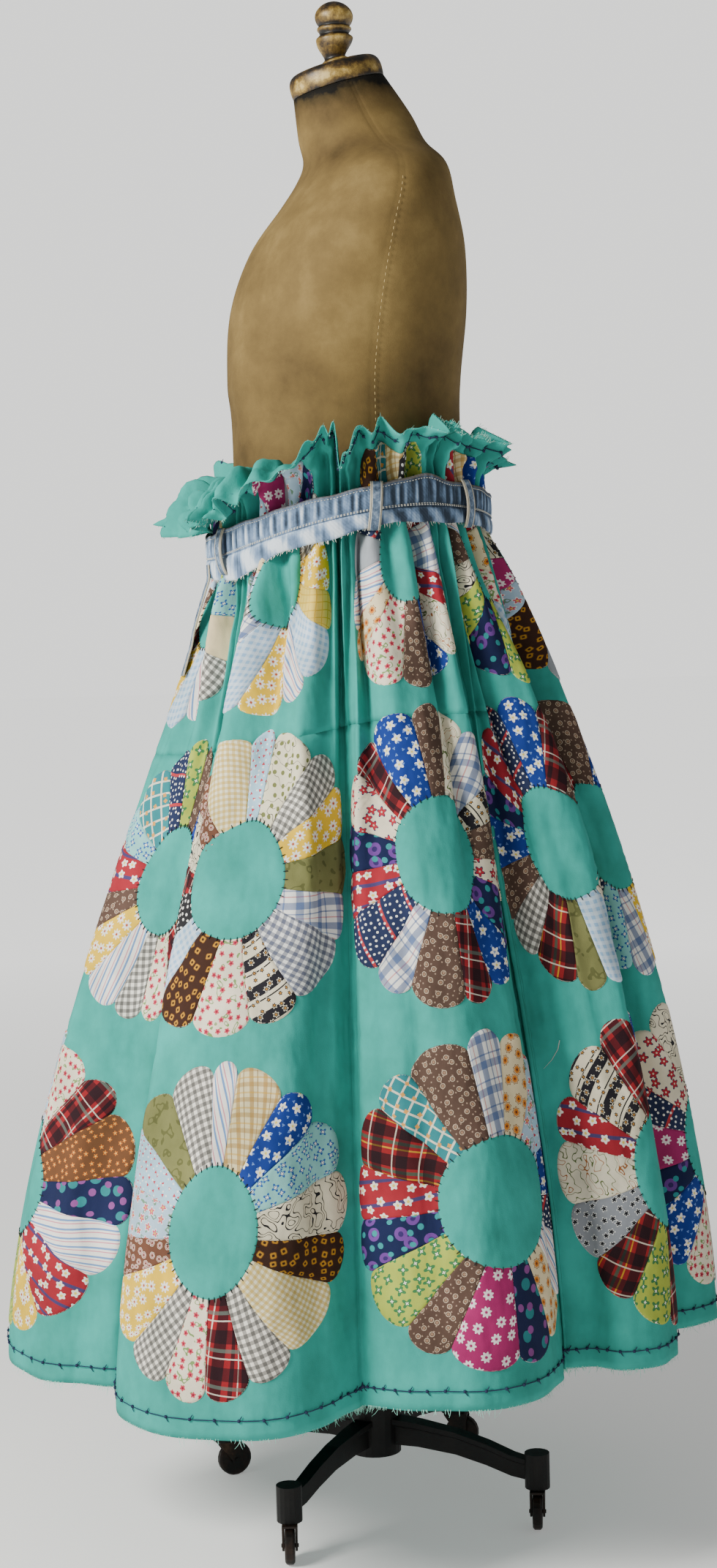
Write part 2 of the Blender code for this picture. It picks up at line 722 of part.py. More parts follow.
def wheel_mesh():
    """A small iron wheel about its axle along Y, with a bore and eased rims. One flat of its rim is
    square to -Z, so that it stands on it."""
    rim = WHEEL_RADIUS / math.cos(math.pi / WHEEL_SIDES)
    half = WHEEL_WIDTH / 2
    profile = (
        (WHEEL_BORE, -half),
        (rim * WHEEL_FACE, -half),
        (rim, -half * WHEEL_TREAD),
        (rim, half * WHEEL_TREAD),
        (rim * WHEEL_FACE, half),
        (WHEEL_BORE, half),
    )
    azimuths = (np.arange(WHEEL_SIDES) + 0.5) * TURN / WHEEL_SIDES - math.pi / 2
    points = [
        (radius * math.cos(a), y, radius * math.sin(a)) for radius, y in profile for a in azimuths
    ]
    faces = []
    count = WHEEL_SIDES
    for i in range(len(profile)):
        below = (i + 1) % len(profile)
        for j in range(count):
            k = (j + 1) % count
            faces.append((i * count + j, below * count + j, below * count + k, i * count + k))
    wheel = new_object("wheel", points, faces)
    mesh = wheel.data.copy()
    bpy.data.objects.remove(wheel, do_unlink=True)
    return mesh


def make_casters():
    """Four casters: each fork swivels about its socket, and its wheel spins on the fork's axle."""
    fork_data = fork_mesh()
    wheel_data = wheel_mesh()
    for number, (degrees, trail) in enumerate(zip(LEG_AZIMUTHS, TRAIL_AZIMUTHS), 1):
        azimuth = math.radians(degrees)
        fork = bpy.data.objects.new(f"caster_fork_{number}", fork_data.copy())
        bpy.context.scene.collection.objects.link(fork)
        fork.location = (SOCKET_OUT * math.cos(azimuth), SOCKET_OUT * math.sin(azimuth), FORK_TOP)
        fork.rotation_euler = (0, 0, math.radians(trail))
        add_material(fork, FORK_IRON)
        wheel = bpy.data.objects.new(f"caster_wheel_{number}", wheel_data.copy())
        bpy.context.scene.collection.objects.link(wheel)
        wheel.parent = fork
        wheel.location = (TRAIL, 0, WHEEL_RADIUS - FORK_TOP)
        add_material(wheel, WHEEL_IRON)


remove_everything()
make_blocks()
make_header()
make_waistband()
make_belt_loops()
make_tail()
make_form()
make_base()
make_casters()
stand_on_axis()
bpy.context.view_layer.update()
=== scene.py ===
# %% [markdown]
# # A patchwork skirt on a dress form
# An old quilt top of big round petal plates was joined into a tube, drawn in at the waist and held
# there by the waistband of a pair of jeans. It stands on a dress form with a star base on casters.
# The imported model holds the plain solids. This lesson lays cloth, prints, stitches, denim, canvas,
# wood and iron over them.

# %% Load the frame
import math

import bpy
import numpy as np
from mathutils import Matrix, Vector


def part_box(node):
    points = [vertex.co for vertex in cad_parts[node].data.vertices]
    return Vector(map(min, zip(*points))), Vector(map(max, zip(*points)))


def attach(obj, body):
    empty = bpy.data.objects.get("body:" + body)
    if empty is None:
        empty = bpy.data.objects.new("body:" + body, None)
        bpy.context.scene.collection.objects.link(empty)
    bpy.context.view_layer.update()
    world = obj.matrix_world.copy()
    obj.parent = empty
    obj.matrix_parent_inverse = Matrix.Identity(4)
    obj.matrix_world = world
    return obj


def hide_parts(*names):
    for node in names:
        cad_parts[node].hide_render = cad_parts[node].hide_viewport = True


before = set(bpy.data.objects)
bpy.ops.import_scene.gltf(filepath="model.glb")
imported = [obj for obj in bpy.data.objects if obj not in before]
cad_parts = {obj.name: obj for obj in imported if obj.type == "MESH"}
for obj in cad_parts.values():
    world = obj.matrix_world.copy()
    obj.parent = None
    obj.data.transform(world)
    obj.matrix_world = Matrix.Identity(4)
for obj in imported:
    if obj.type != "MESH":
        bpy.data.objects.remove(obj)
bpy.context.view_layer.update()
BODY = "dressed_form"
TURN = 2 * math.pi
AXIS_Y = 0.0185
print("nodes:", len(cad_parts))

# %% [markdown]
# Everything here is either a grid of points or many copies of a small grid. One helper puts such
# grids into a mesh in a single step. Each piece carries a flat map in metres, so that a print keeps
# its real size, and may carry a value for each point, such as its distance from a cut edge.

# %% Grids into meshes
def grid_quads(rows, columns, around=False, closed=False):
    """Corner numbers of the quads of one grid, row by row, turned so that they face outwards when
    rows run down and columns run to the right as seen from outside. With around the last column
    joins the first, and with closed the last row joins the first."""
    i, j = np.meshgrid(np.arange(rows - (not closed)), np.arange(columns - (not around)), indexing="ij")
    right = (j + 1) % columns
    this, below = i * columns, (i + 1) % rows * columns
    return np.stack([this + j, below + j, below + right, this + right], -1).reshape(-1, 4)


def many_grids(points, around=False):
    """Quads for a stack of equal grids, an array of (count, rows, columns, 3)."""
    count, rows, columns = points.shape[:3]
    one = grid_quads(rows, columns, around)
    return (one[None] + (np.arange(count) * rows * columns)[:, None, None]).reshape(-1, 4)


def new_piece(name, points, quads, flat_map=None, **values):
    """One mesh piece at the origin, smooth, riding on the dressed form."""
    mesh = bpy.data.meshes.new(name)
    points = np.asarray(points, np.float32).reshape(-1, 3)
    quads = np.asarray(quads, np.int32).reshape(-1, 4)
    mesh.vertices.add(len(points))
    mesh.vertices.foreach_set("co", points.ravel())
    mesh.loops.add(quads.size)
    mesh.loops.foreach_set("vertex_index", quads.ravel())
    mesh.polygons.add(len(quads))
    mesh.polygons.foreach_set("loop_start", np.arange(0, quads.size, 4, dtype=np.int32))
    if flat_map is not None:
        corners = np.asarray(flat_map, np.float32).reshape(-1, 2)[quads.ravel()]
        mesh.uv_layers.new(name="flat_map").uv.foreach_set("vector", corners.ravel())
    for label, value in values.items():
        attribute = mesh.attributes.new(label, "FLOAT", "POINT")
        attribute.data.foreach_set("value", np.asarray(value, np.float32).ravel())
    mesh.update(calc_edges=True)
    mesh.shade_smooth()
    piece = bpy.data.objects.new(name, mesh)
    bpy.context.scene.collection.objects.link(piece)
    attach(piece, BODY)
    return piece


def unit(vectors):
    """Vectors over their own lengths."""
    return vectors / np.linalg.norm(vectors, axis=-1, keepdims=True)


def bell(off, width):
    """A smooth bump, 1 in the middle: exp(-(off / width)^2)."""
    return np.exp(-((off / width) ** 2))


def ease_between(value, low, high):
    """0 under low, 1 over high and 3 t^2 - 2 t^3 between."""
    share = np.clip((value - low) / (high - low), 0, 1)
    return share**2 * (3 - 2 * share)


# %% [markdown]
# ## Colours and shader nodes
# Colours are written as the eye reads them, as sRGB hex values, and turned to linear light once.
# One helper adds a node, sets it and feeds it.

# %% Shader helpers
def linear(text):
    """sRGB hex to linear light: v / 12.92 when dark, else ((v + 0.055) / 1.055) ^ 2.4."""
    value = np.array([int(text[i : i + 2], 16) for i in (1, 3, 5)]) / 255
    light = np.where(value <= 0.04045, value / 12.92, ((value + 0.055) / 1.055) ** 2.4)
    return (*map(float, light), 1.0)


def feed(tree, node, inputs):
    """Gives each input a value, a link from a socket, or a link from a node's first output."""
    for socket, value in dict(inputs).items():
        if isinstance(value, bpy.types.Node):
            value = value.outputs[0]
        if isinstance(value, bpy.types.NodeSocket):
            tree.links.new(value, node.inputs[socket])
        else:
            node.inputs[socket].default_value = value


def add(tree, kind, inputs=(), stops=(), smooth=False, **settings):
    """Adds one node, applies its settings and feeds it. The stops of a colour ramp are pairs of a
    position and a hex colour, or None where what lies below shows."""
    node = tree.nodes.new(f"ShaderNode{kind}")
    for setting, value in settings.items():
        setattr(node, setting, value)
    feed(tree, node, inputs)
    if stops:
        ramp = node.color_ramp
        ramp.interpolation = "LINEAR" if smooth else "CONSTANT"
        while len(ramp.elements) < len(stops):
            ramp.elements.new(1.0)
        for element, (position, colour) in zip(ramp.elements, stops):
            element.position = position
            element.color = linear(colour) if colour else (0, 0, 0, 0)
    return node


def new_finish(name, roughness, glint=0.15):
    """A material, its nodes and its Principled shader, with the values that are the same all over."""
    material = bpy.data.materials.new(name)
    material.use_nodes = True
    tree = material.node_tree
    shader = tree.nodes["Principled BSDF"]
    feed(tree, shader, {"Roughness": roughness, "Specular IOR Level": glint})
    return material, tree, shader


def give(material, pieces):
    """Puts a material on each piece."""
    for piece in pieces:
        piece.data.materials.append(material)


# %% [markdown]
# ## The skirt as one surface
# The solids of the skirt come from one function of two cloth coordinates: the place round the tube,
# from 0 to 10, one unit a column of blocks, and the drop, from 0 at the lower edge of the waistband
# to 1 at the hem. Under 0 the same cloth goes up behind the band and on into the header. The same
# tables are used here, so the fine cloth lies where the solids are. A cloth simulation could hang
# a flat panel too, but its folds would fall anew after each change. Lengths are in metres, angles
# in degrees, and GATHER and what ends in LOW, HIGH or WIDEN is half the height of a wave.

# %% Skirt tables
CLOTH = 0.0018
# name, azimuth of its first edge, radius and height at the hem, depth of its valley, flare
COLUMNS = (
    ("A", -112, 0.437, 0.215, 0.085, 1.42),
    ("B", -66, 0.450, 0.215, 0.100, 1.50),
    ("C", -17, 0.402, 0.232, 0.085, 1.60),
    ("D", 26, 0.410, 0.237, 0.078, 1.75),
    ("E", 52, 0.413, 0.240, 0.072, 1.85),
    ("F", 82, 0.405, 0.235, 0.080, 1.85),
    ("G", 116, 0.402, 0.230, 0.090, 1.70),
    ("H", 150, 0.410, 0.225, 0.085, 1.60),
    ("I", 184, 0.420, 0.220, 0.085, 1.50),
    ("J", 216, 0.430, 0.215, 0.080, 1.45),
)
BLOCK, SKIRT_DROP, CUT_DROP = 0.345, 0.950, 0.980
ROW_SEAMS = (0.229, 0.581)
FOLD_PINCH, VALLEY_POWER, VALLEY_CALM = 0.65, 3, 0.09
GATHER, GATHER_REACH = 0.0133, 0.28
WAIST_X, WAIST_Y, WAIST_SHIFT = 0.1725, 0.1665, -0.004
DENIM, SEAM_GAP = 0.0024, 0.0004
BAND_HEIGHT, BAND_SIDE_Z, BAND_TILT, BAND_DIP = 0.043, 1.198, 0.0195, -0.0305
BAND_SHARE = BAND_HEIGHT / SKIRT_DROP
HEADER_LENGTH, HEADER_FRONT, HEADER_WAVES = 0.066, 0.042, 2
HEADER_WIDEN, HEADER_FLARE, EDGE_ROLL = 0.004, 0.006, 0.016
BROAD_PLEATS, BROAD_LOW, BROAD_HIGH, PLEAT_TOP, PLEAT_BUNCH = 3, 0.0038, 0.0175, 0.08, 0.6
FINE_PLEATS, FINE_HIGH, FINE_REACH = 6, 0.0100, 0.21
FORM_X, FORM_Y, FORM_BEND = 0.1425, 0.1365, 0.006
STAND_ANGLE, BACK_LEAN, FRONT_DROOP = 90, 66, -102
TURN_FROM, TURN_TO, PATH_STEPS = 0.12, 0.92, 24
print("blocks round the skirt:", len(COLUMNS), "of", BLOCK, "m")


# %% Main folds
def column_value(index, place):
    """A value of the column table, eased from the middle of one column to the middle of the next."""
    values = np.array([column[index] for column in COLUMNS], float)
    whole = np.floor(place - 0.5)
    ease = (1 - np.cos(np.pi * (place - 0.5 - whole))) / 2
    first = values[whole.astype(int) % len(values)]
    second = values[(whole.astype(int) + 1) % len(values)]
    return first * (1 - ease) + second * ease


def fold_azimuth(place):
    """Azimuth for a place: t - k sin(2 pi t) / (2 pi) of the column's own angle, a trochoid's pace."""
    edges = np.radians([column[1] for column in COLUMNS] + [COLUMNS[0][1] + 360])
    whole = np.floor(place)
    share = place - whole
    column = whole.astype(int) % len(COLUMNS)
    eased = share - FOLD_PINCH * np.sin(TURN * share) / TURN
    return edges[column] + (edges[column + 1] - edges[column]) * eased + TURN * np.floor(whole / len(COLUMNS))


def oval_radius(azimuth, half_x, half_y):
    """Distance from the middle of an oval to its edge: 1 / sqrt((cos/a)^2 + (sin/b)^2)."""
    return 1 / np.sqrt((np.cos(azimuth) / half_x) ** 2 + (np.sin(azimuth) / half_y) ** 2)


def at_azimuth(azimuth, radius, height, centre=AXIS_Y + WAIST_SHIFT):
    """Points at a radius and a height round the upright line through (0, centre)."""
    return np.stack([radius * np.cos(azimuth), radius * np.sin(azimuth) + centre, height], axis=-1)


def level_way(azimuth):
    """Level unit vectors (cos, sin, 0) that point along an azimuth."""
    return np.stack([np.cos(azimuth), np.sin(azimuth), 0 * azimuth], axis=-1)


def front_share(azimuth):
    """1 at the front and 0 at the back: ((1 - sin) / 2)^3."""
    return ((1 - np.sin(azimuth)) / 2) ** 3


def band_height(azimuth):
    """Height of the middle of the waistband: level at the sides, lower in front."""
    back = np.sin(azimuth)
    return BAND_SIDE_Z + BAND_TILT * back + BAND_DIP * back**2


def gather_radius(azimuth):
    """Middle of the gathers, halfway between the form and the waistband."""
    return oval_radius(azimuth, WAIST_X, WAIST_Y) - DENIM - SEAM_GAP * 2 - CLOTH / 2 - GATHER


def main_folds(place, drop):
    """The ten main folds: radius = gathers + (hem - gathers) (1 - (1 - d)^flare) less the valley."""
    azimuth = fold_azimuth(place)
    below = np.clip(drop, 0, 1)
    start = gather_radius(azimuth)
    depths = np.array([column[4] for column in COLUMNS])
    near = np.floor(place + 0.5).astype(int) % len(COLUMNS)
    valley = depths[near] * (1 + np.cos(TURN * place)) / 2 * (1 - (1 - below) ** VALLEY_POWER)
    flare = 1 - (1 - below) ** column_value(5, place)
    radius = start + (column_value(2, place) - start) * flare - valley
    top = band_height(azimuth) - BAND_HEIGHT / 2
    height = top + (column_value(3, place) - top) * below - SKIRT_DROP * (drop - below)
    return at_azimuth(azimuth, radius, height, AXIS_Y + WAIST_SHIFT * (1 - below))


# %% [markdown]
# Cotton that has hung for a while has more in it than its main folds. Long soft ridges run down from
# the gathers and fade out, a few firmer creases lie where the quilt was folded away, and every seam
# pulls a little. The long ridges are sums of sines with whole numbers of waves round the tube, so
# the cloth still closes. The creases are listed one by one, uneven in length, depth and lean.

# %% Soft ridges, creases and seams
# waves round the tube, phase, turn of phase down the skirt, height in metres
SOFT_RIDGES = ((23, 0.4, 1.9, 0.0054), (37, 2.1, -2.6, 0.0042), (61, 4.0, 3.4, 0.0022))
# place, drop at its top, drop at its foot, drift in place, half width in place, height in metres
CREASES = (
    (0.34, 0.08, 0.52, 0.10, 0.030, -0.0087), (0.62, 0.20, 0.95, 0.06, 0.040, 0.0072),
    (1.22, 0.10, 0.62, 0.05, 0.034, 0.0055), (1.37, 0.06, 0.80, 0.03, 0.038, -0.0070),
    (1.66, 0.12, 0.46, 0.08, 0.024, 0.0080), (1.80, 0.30, 1.00, -0.04, 0.036, -0.0072),
    (2.18, 0.05, 0.50, 0.05, 0.024, 0.0094), (2.33, 0.10, 0.98, 0.07, 0.034, -0.0087),
    (2.60, 0.08, 0.40, -0.05, 0.026, 0.0087), (2.72, 0.35, 1.00, 0.06, 0.040, -0.0101),
    (2.86, 0.08, 0.60, 0.03, 0.028, 0.0072), (3.28, 0.10, 0.85, 0.05, 0.034, -0.0087),
    (3.55, 0.06, 0.50, -0.03, 0.030, 0.0087), (3.72, 0.30, 1.00, 0.03, 0.040, -0.0080),
    (4.24, 0.08, 0.70, 0.04, 0.034, 0.0080), (4.48, 0.20, 1.00, -0.05, 0.040, -0.0094),
    (4.74, 0.06, 0.42, 0.04, 0.030, 0.0087), (5.30, 0.10, 0.88, 0.06, 0.036, -0.0094),
    (5.58, 0.05, 0.45, -0.06, 0.028, 0.0087), (5.76, 0.36, 1.00, 0.05, 0.036, 0.0072),
    (6.25, 0.07, 0.64, 0.07, 0.032, 0.0080), (6.46, 0.14, 0.97, -0.04, 0.036, -0.0101),
    (6.72, 0.05, 0.38, 0.03, 0.028, 0.0087), (7.28, 0.10, 0.80, 0.05, 0.034, -0.0087),
    (7.52, 0.25, 1.00, 0.04, 0.038, 0.0072), (7.76, 0.06, 0.50, -0.05, 0.030, 0.0087),
    (8.22, 0.08, 0.58, 0.05, 0.030, 0.0080), (8.41, 0.12, 0.94, 0.05, 0.034, -0.0101),
    (8.70, 0.30, 1.00, -0.04, 0.036, 0.0072), (9.26, 0.06, 0.48, 0.06, 0.030, 0.0087),
    (9.50, 0.15, 0.96, -0.05, 0.036, -0.0094), (9.78, 0.05, 0.40, 0.03, 0.026, 0.0080),
)
# height of a pucker, reach of its seam's pull, depth and half width of the seam's own groove
SIDE_SEAM = (0.0008, 0.016, 0.0010, 0.004)
ROW_SEAM = (0.0009, 0.018, 0.0010, 0.004)
RIPPLE, RIPPLE_REACH, PUCKER_STEP = 0.0016, 0.13, 0.031


def seam_pull(away, tug, seam):
    """Puckers that fade away from a seam, less the narrow groove of the seam itself."""
    pucker, reach, groove, half = seam
    return pucker * tug * bell(away, reach) - groove * bell(away, half)


def small_relief(place, drop):
    """Ridges, creases and seam puckers, as a height square to the cloth."""
    below = np.clip(drop, 0, 1)
    height = np.zeros_like(place)
    slow = 1 + 0.45 * np.sin(TURN * 3 * place / 10 + 0.8)
    for waves, phase, drift, size in SOFT_RIDGES:
        height += size * slow * np.sin(TURN * waves * place / 10 + phase + drift * below)
    height *= ease_between(below, 0.02, 0.20) * (1 - 0.35 * below)
    for middle, top, foot, lean, half, size in CREASES:
        along = np.clip((below - top) / (foot - top), 0, 1)
        off = (place - middle - lean * along + 5) % 10 - 5
        height += size * bell(off, half) * np.sin(math.pi * along) ** 0.8
    narrow = np.sin(TURN * 13 * place + 1.3 * np.sin(TURN * 1.1 * place) + 2 * below)
    height += RIPPLE * narrow * bell(below, RIPPLE_REACH) * ease_between(below, 0, 0.02)
    down_seam = np.sin(TURN * below / PUCKER_STEP + 3 * np.sin(TURN * below * 3.1))
    side = (place - np.round(place)) * BLOCK
    height += ease_between(below, 0.0, 0.05) * seam_pull(side, down_seam, SIDE_SEAM)
    along_row = np.sin(TURN * 17 * place + 2 * np.sin(TURN * place))
    for seam in ROW_SEAMS:
        height += seam_pull(below - seam, along_row, ROW_SEAM)
    return height


# %% [markdown]
# The gathers are waves square to the cloth. Behind the band three waves a column pass into the two
# waves a column of the header, which stands up at the back and the sides and falls over in front.

# %% Gathers and header
SLOW_CURL, FAST_CURL, CRUMPLE, FINE_CRUMPLE = 0.0040, 0.0050, 0.0030, 0.0018


def header_length(place):
    """Cloth above the band: longer in front, and torn a little unevenly along its raw edge."""
    uneven = 1 + 0.07 * np.sin(TURN * 0.7 * place + 1) + 0.05 * np.sin(TURN * 1.9 * place)
    return (HEADER_LENGTH + HEADER_FRONT * front_share(fold_azimuth(place))) * uneven


def raw_edge(place):
    """The drop, under 0, of the header's raw top edge."""
    return -(BAND_HEIGHT + header_length(place)) / SKIRT_DROP


def pleats(place, drop):
    """Broad and fine gathers as height and bunching. Behind the band both fit its room. Below it the
    broad ones grow and then die as exp(-((d - top) / reach)^2), and the fine ones die sooner."""
    below = np.clip(drop, 0, 1)
    wobble = 0.55 * np.sin(TURN * 0.7 * place) + 0.45 * np.sin(TURN * 1.3 * place + 2)
    lean = 1.5 * np.sin(TURN * 0.4 * place + 1) * below
    phase = TURN * BROAD_PLEATS * place + wobble + lean
    reach = GATHER_REACH * (1 + 0.35 * np.sin(TURN * 1.1 * place + 2) + 0.2 * np.sin(TURN * 2.3 * place))
    fall = bell(np.maximum(below - PLEAT_TOP, 0), reach)
    calm = 1 - 0.75 * np.cos(np.pi * place) ** 2 * ease_between(below, 0.01, VALLEY_CALM)
    uneven = 1 + 0.22 * np.sin(TURN * 0.9 * place + 1.0)
    broad = (BROAD_LOW + (BROAD_HIGH - BROAD_LOW) * ease_between(below, 0, PLEAT_TOP)) * fall * calm * uneven
    fine_phase = TURN * FINE_PLEATS * place + 0.9 * np.sin(TURN * 0.6 * place) - 0.5 * wobble
    fine = FINE_HIGH * bell(below, FINE_REACH) * (1 + 0.3 * np.sin(TURN * 1.7 * place))
    height = broad * np.sin(phase) + fine * np.sin(fine_phase) - 0.7 * (broad - BROAD_LOW)
    bunch = PLEAT_BUNCH * broad / BROAD_HIGH * np.cos(phase) / (TURN * BROAD_PLEATS)
    return height, bunch * ease_between(below, 0, 0.03)


def ruffles(place, rise, front):
    """Height of the header's waves: the same gathers, which open into broad waves and small curls
    towards the raw edge, crumpled most in front."""
    start, _ = pleats(place, 0 * place)
    curl = SLOW_CURL * np.sin(TURN * 4.3 * place + 2) + FAST_CURL * np.sin(TURN * 7.1 * place + 4 * rise)
    swing = 0.07 * np.sin(TURN * 0.7 * place) + 0.05 * np.sin(TURN * 1.3 * place + 2)
    size = 1 + 0.35 * np.sin(TURN * 0.9 * place + 3)
    broad = (GATHER + HEADER_WIDEN) * size * np.sin(TURN * HEADER_WAVES * (place + swing * rise))
    crumple = CRUMPLE * np.sin(TURN * 5.3 * place + 9 * rise) * np.sin(TURN * (1.6 * rise + 2.9 * place))
    crumple = (crumple + FINE_CRUMPLE * np.sin(TURN * 9.7 * place - 13 * rise + 1)) * (1 + 1.6 * front)
    opened = (0.85 * broad + curl) * rise**1.3 + crumple * ease_between(rise, 0.1, 0.6)
    return start * (1 - 0.35 * rise) + opened


def header_part(place, drop):
    """A path that starts upright and turns to a lean behind, or over and down in front. Its points
    are summed in short steps, and its waves go square to it."""
    azimuth = fold_azimuth(place)
    front = front_share(azimuth)
    length = header_length(place)
    above = np.maximum((-drop * SKIRT_DROP - BAND_HEIGHT) / length, 0)
    first = math.radians(STAND_ANGLE)
    last = np.radians(BACK_LEAN + (FRONT_DROOP - BACK_LEAN) * front)
    stride = length * above / PATH_STEPS
    radius = gather_radius(azimuth)
    height = band_height(azimuth) + BAND_HEIGHT / 2
    for step in range(PATH_STEPS):
        angle = first + (last - first) * ease_between(above * (step + 0.5) / PATH_STEPS, TURN_FROM, TURN_TO)
        radius = radius + stride * np.cos(angle)
        height = height + stride * np.sin(angle)
    angle = first + (last - first) * ease_between(above, TURN_FROM, TURN_TO)
    wave = ruffles(place, above, front)
    outer = ease_between(above, 0.6, 1.05) * (1 - front)
    rolled = EDGE_ROLL * (1 + np.sin(TURN * 1.7 * place + 4)) / 2 * outer
    radius = radius + HEADER_FLARE * above**2 + wave * np.sin(angle) + rolled
    return at_azimuth(azimuth, radius, height - wave * np.cos(angle) - 0.5 * rolled)


# %% The whole cloth
def clear_of_form(points):
    """Moves points that would enter the form out to just over its oval, along a smooth bend:
    r = inner + (x + sqrt(x^2 + bend^2)) / 2, with x the distance outside the oval."""
    x, y = points[..., 0], points[..., 1] - AXIS_Y - WAIST_SHIFT
    azimuth = np.arctan2(y, x)
    inner = oval_radius(azimuth, FORM_X, FORM_Y)
    outside = np.hypot(x, y) - inner
    radius = inner + (outside + np.sqrt(outside**2 + FORM_BEND**2)) / 2
    return at_azimuth(azimuth, radius, points[..., 2])


def skirt_part(place, drop):
    """Main folds with the gathers on them. The places bunch by -k cos(phase), so ridges grow wide
    and hollows narrow. The gathers go out from the axis near the waist, and square to the main folds
    further down; what they gain in depth goes inwards."""
    step = 1e-4
    height, bunch = pleats(place, drop)
    bunched = place - bunch
    across = main_folds(bunched + step, drop) - main_folds(bunched - step, drop)
    level = unit(np.stack([across[..., 1], -across[..., 0], np.zeros_like(place)], axis=-1))
    square = ease_between(np.clip(drop, 0, 1), 0.10, 0.45)[..., None]
    way = unit(level_way(fold_azimuth(bunched)) * (1 - square) + level * square)
    return main_folds(bunched, drop) + way * (height + small_relief(place, drop))[..., None]


def cloth(place, drop):
    """Any point of the quilt's outer face."""
    place, drop = np.broadcast_arrays(np.asarray(place, float), np.asarray(drop, float))
    points = skirt_part(place, drop)
    above = drop < -BAND_SHARE
    if above.any():
        points[above] = header_part(place[above], drop[above])
    return clear_of_form(points)


def cloth_out(place, drop, step=4e-4):
    """Unit normals of the cloth by differences, facing away from the body."""
    across = cloth(place + step, drop) - cloth(place - step, drop)
    down = cloth(place, drop + step) - cloth(place, drop - step)
    return unit(np.cross(down, across))


def cloth_frame(place, drop):
    """Points of the cloth, their outward normals and the way round the tube."""
    across = unit(cloth(place + 1e-3, drop) - cloth(place - 1e-3, drop))
    return cloth(place, drop), cloth_out(place, drop), across


print("front and back of the hem:", cloth([0.9, 5.5], 1.0).round(3).tolist())

# %% [markdown]
# ## The turquoise ground
# The ground is one layer of cotton, so it is made as two thin shells that meet at the first row of
# seams: the upper one with the header and the gathers, and the lower one with two rows of blocks.
# Both are grids of the cloth function, and a Solidify modifier gives them 1 mm of thickness inwards.

# %% Ground cloth
LAYER = 0.0010
UPPER_STEPS, LOWER_STEPS = 840, 560
QUILT_ROUND, UPPER_CUT, LOWER_CUT = 3.45, 0.34, 0.745


def ground_piece(name, places, drops, cut):
    """A shell on the cloth function, closed round the tube, with a flat map of the cut cloth. Its
    area is the sum of half the cross products of each quad's diagonals."""
    places = places + 0 * drops
    points = cloth(places, drops)
    flat = np.stack([places * BLOCK, -drops * CUT_DROP], axis=-1)
    piece = new_piece(name, points, grid_quads(*places.shape), flat)
    shell = piece.modifiers.new("layer", "SOLIDIFY")
    shell.thickness = LAYER
    shell.offset = -1
    shell.use_even_offset = False
    diagonals = points[1:, 1:] - points[:-1, :-1], points[1:, :-1] - points[:-1, 1:]
    area = np.linalg.norm(np.cross(*diagonals), axis=-1).sum() / 2
    print(f"{name}: {area:.3f} of {QUILT_ROUND * cut:.3f} square metres of cloth")
    return piece


upper_places = np.linspace(0, 10, UPPER_STEPS + 1)
lower_places = np.linspace(0, 10, LOWER_STEPS + 1)
header_rows = np.linspace(1, 0, 25)[:, None] * (raw_edge(upper_places) + BAND_SHARE) - BAND_SHARE
band_rows = np.linspace(-BAND_SHARE, 0, 4)[1:, None] + 0 * upper_places
upper_rows = np.linspace(0, ROW_SEAMS[0], 31)[1:, None] + 0 * upper_places
upper_drops = np.concatenate([header_rows, band_rows, upper_rows])
lower_drops = np.linspace(ROW_SEAMS[0], 1.0, 84)[:, None] + 0 * lower_places
quilt_upper = ground_piece("quilt_upper", upper_places, upper_drops, UPPER_CUT)
quilt_lower = ground_piece("quilt_lower", lower_places, lower_drops, LOWER_CUT)
blocks = [f"block_{row}_{column[0]}" for row in (1, 2, 3) for column in COLUMNS]
headers = ["header_AB", "header_CD", "header_EF", "header_GH", "header_IJ"]
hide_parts(*blocks[:10], *headers)
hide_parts(*blocks[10:])

# %% [markdown]
# ## The petal plates
# Each block carries a plate of 16 or 17 petals with rounded ends, sewn side to side, and a round
# turquoise centre laid over their points. A petal is a wedge of the plate: its angle runs across it
# and its radius along it, and its outer end is a half round. It is laid on the cloth function and
# raised by less than 2 mm, and its edges dip into the ground, as a turned edge does. The plates lie
# where the cloth carries them, and a squeeze across takes up what the gathers hide. Flat petals
# under a Shrinkwrap modifier could do the same, but would slide about in the deep folds.

# %% Plates of petals
# For the plates in view, prints clockwise from the top as the viewer sees them
PLATES = {
    "A1": "cr be rt li aq be gb st pb yd tr om bc lf np cl",
    "B1": "gs lf np gb yd yl pb st yd pb bw gb lf be lb mp",
    "C1": "tc gd li tr bw rf cv rb bc cr om st gs nd bg tg",
    "D1": "tc bw rb tr om cr pb be li np li cl bc st rf nd",
    "A2": "li bc rb om lf np om tr cr gb st yd bc rf aq tg nd",
    "B2": "lb cd gb yd ol bw gn ob cr bg pb gd tr cl br yc",
    "C2": "bc cv bw ob bc cf np rb tr bc bw nd rf np cf tr rb",
    "D2": "rb tr bc lb om yd cf pb ol rt gb bc rb np rf nd",
    "E2": "bc rb om li cr st tr yd bw aq nd cf bc rf ob tr",
    "A3": "lf cr tr bo nt st rf yd li bc gb om rb tg mp cl",
    "B3": "st tc rb aq cl bg yc gb tr cr gb yd br lf lb ol gb",
    "C3": "bw om lf lb rb nd st om nt mp bc li np rf rt tg bc",
    "D3": "rb bc yd om cr np st mp tr li rt lp cv rf ob tr",
    "E3": "bc st li om tr yd lf ol gb cr rb np mp nd cf cl",
}
ALL_PRINTS = (
    "st tc rb aq cl bg yc gb tr cr yd br lf lb ol bw om nd nt mp bc li np rf rt tg ob cv cf lp pb "
    "gd gn cd bo be gs yl"
).split()
ROW_CENTRES = {1: 0.032, 2: 0.386, 3: 0.7725}
ROW_REACH = {1: 0.165, 2: 0.173, 3: 0.189}
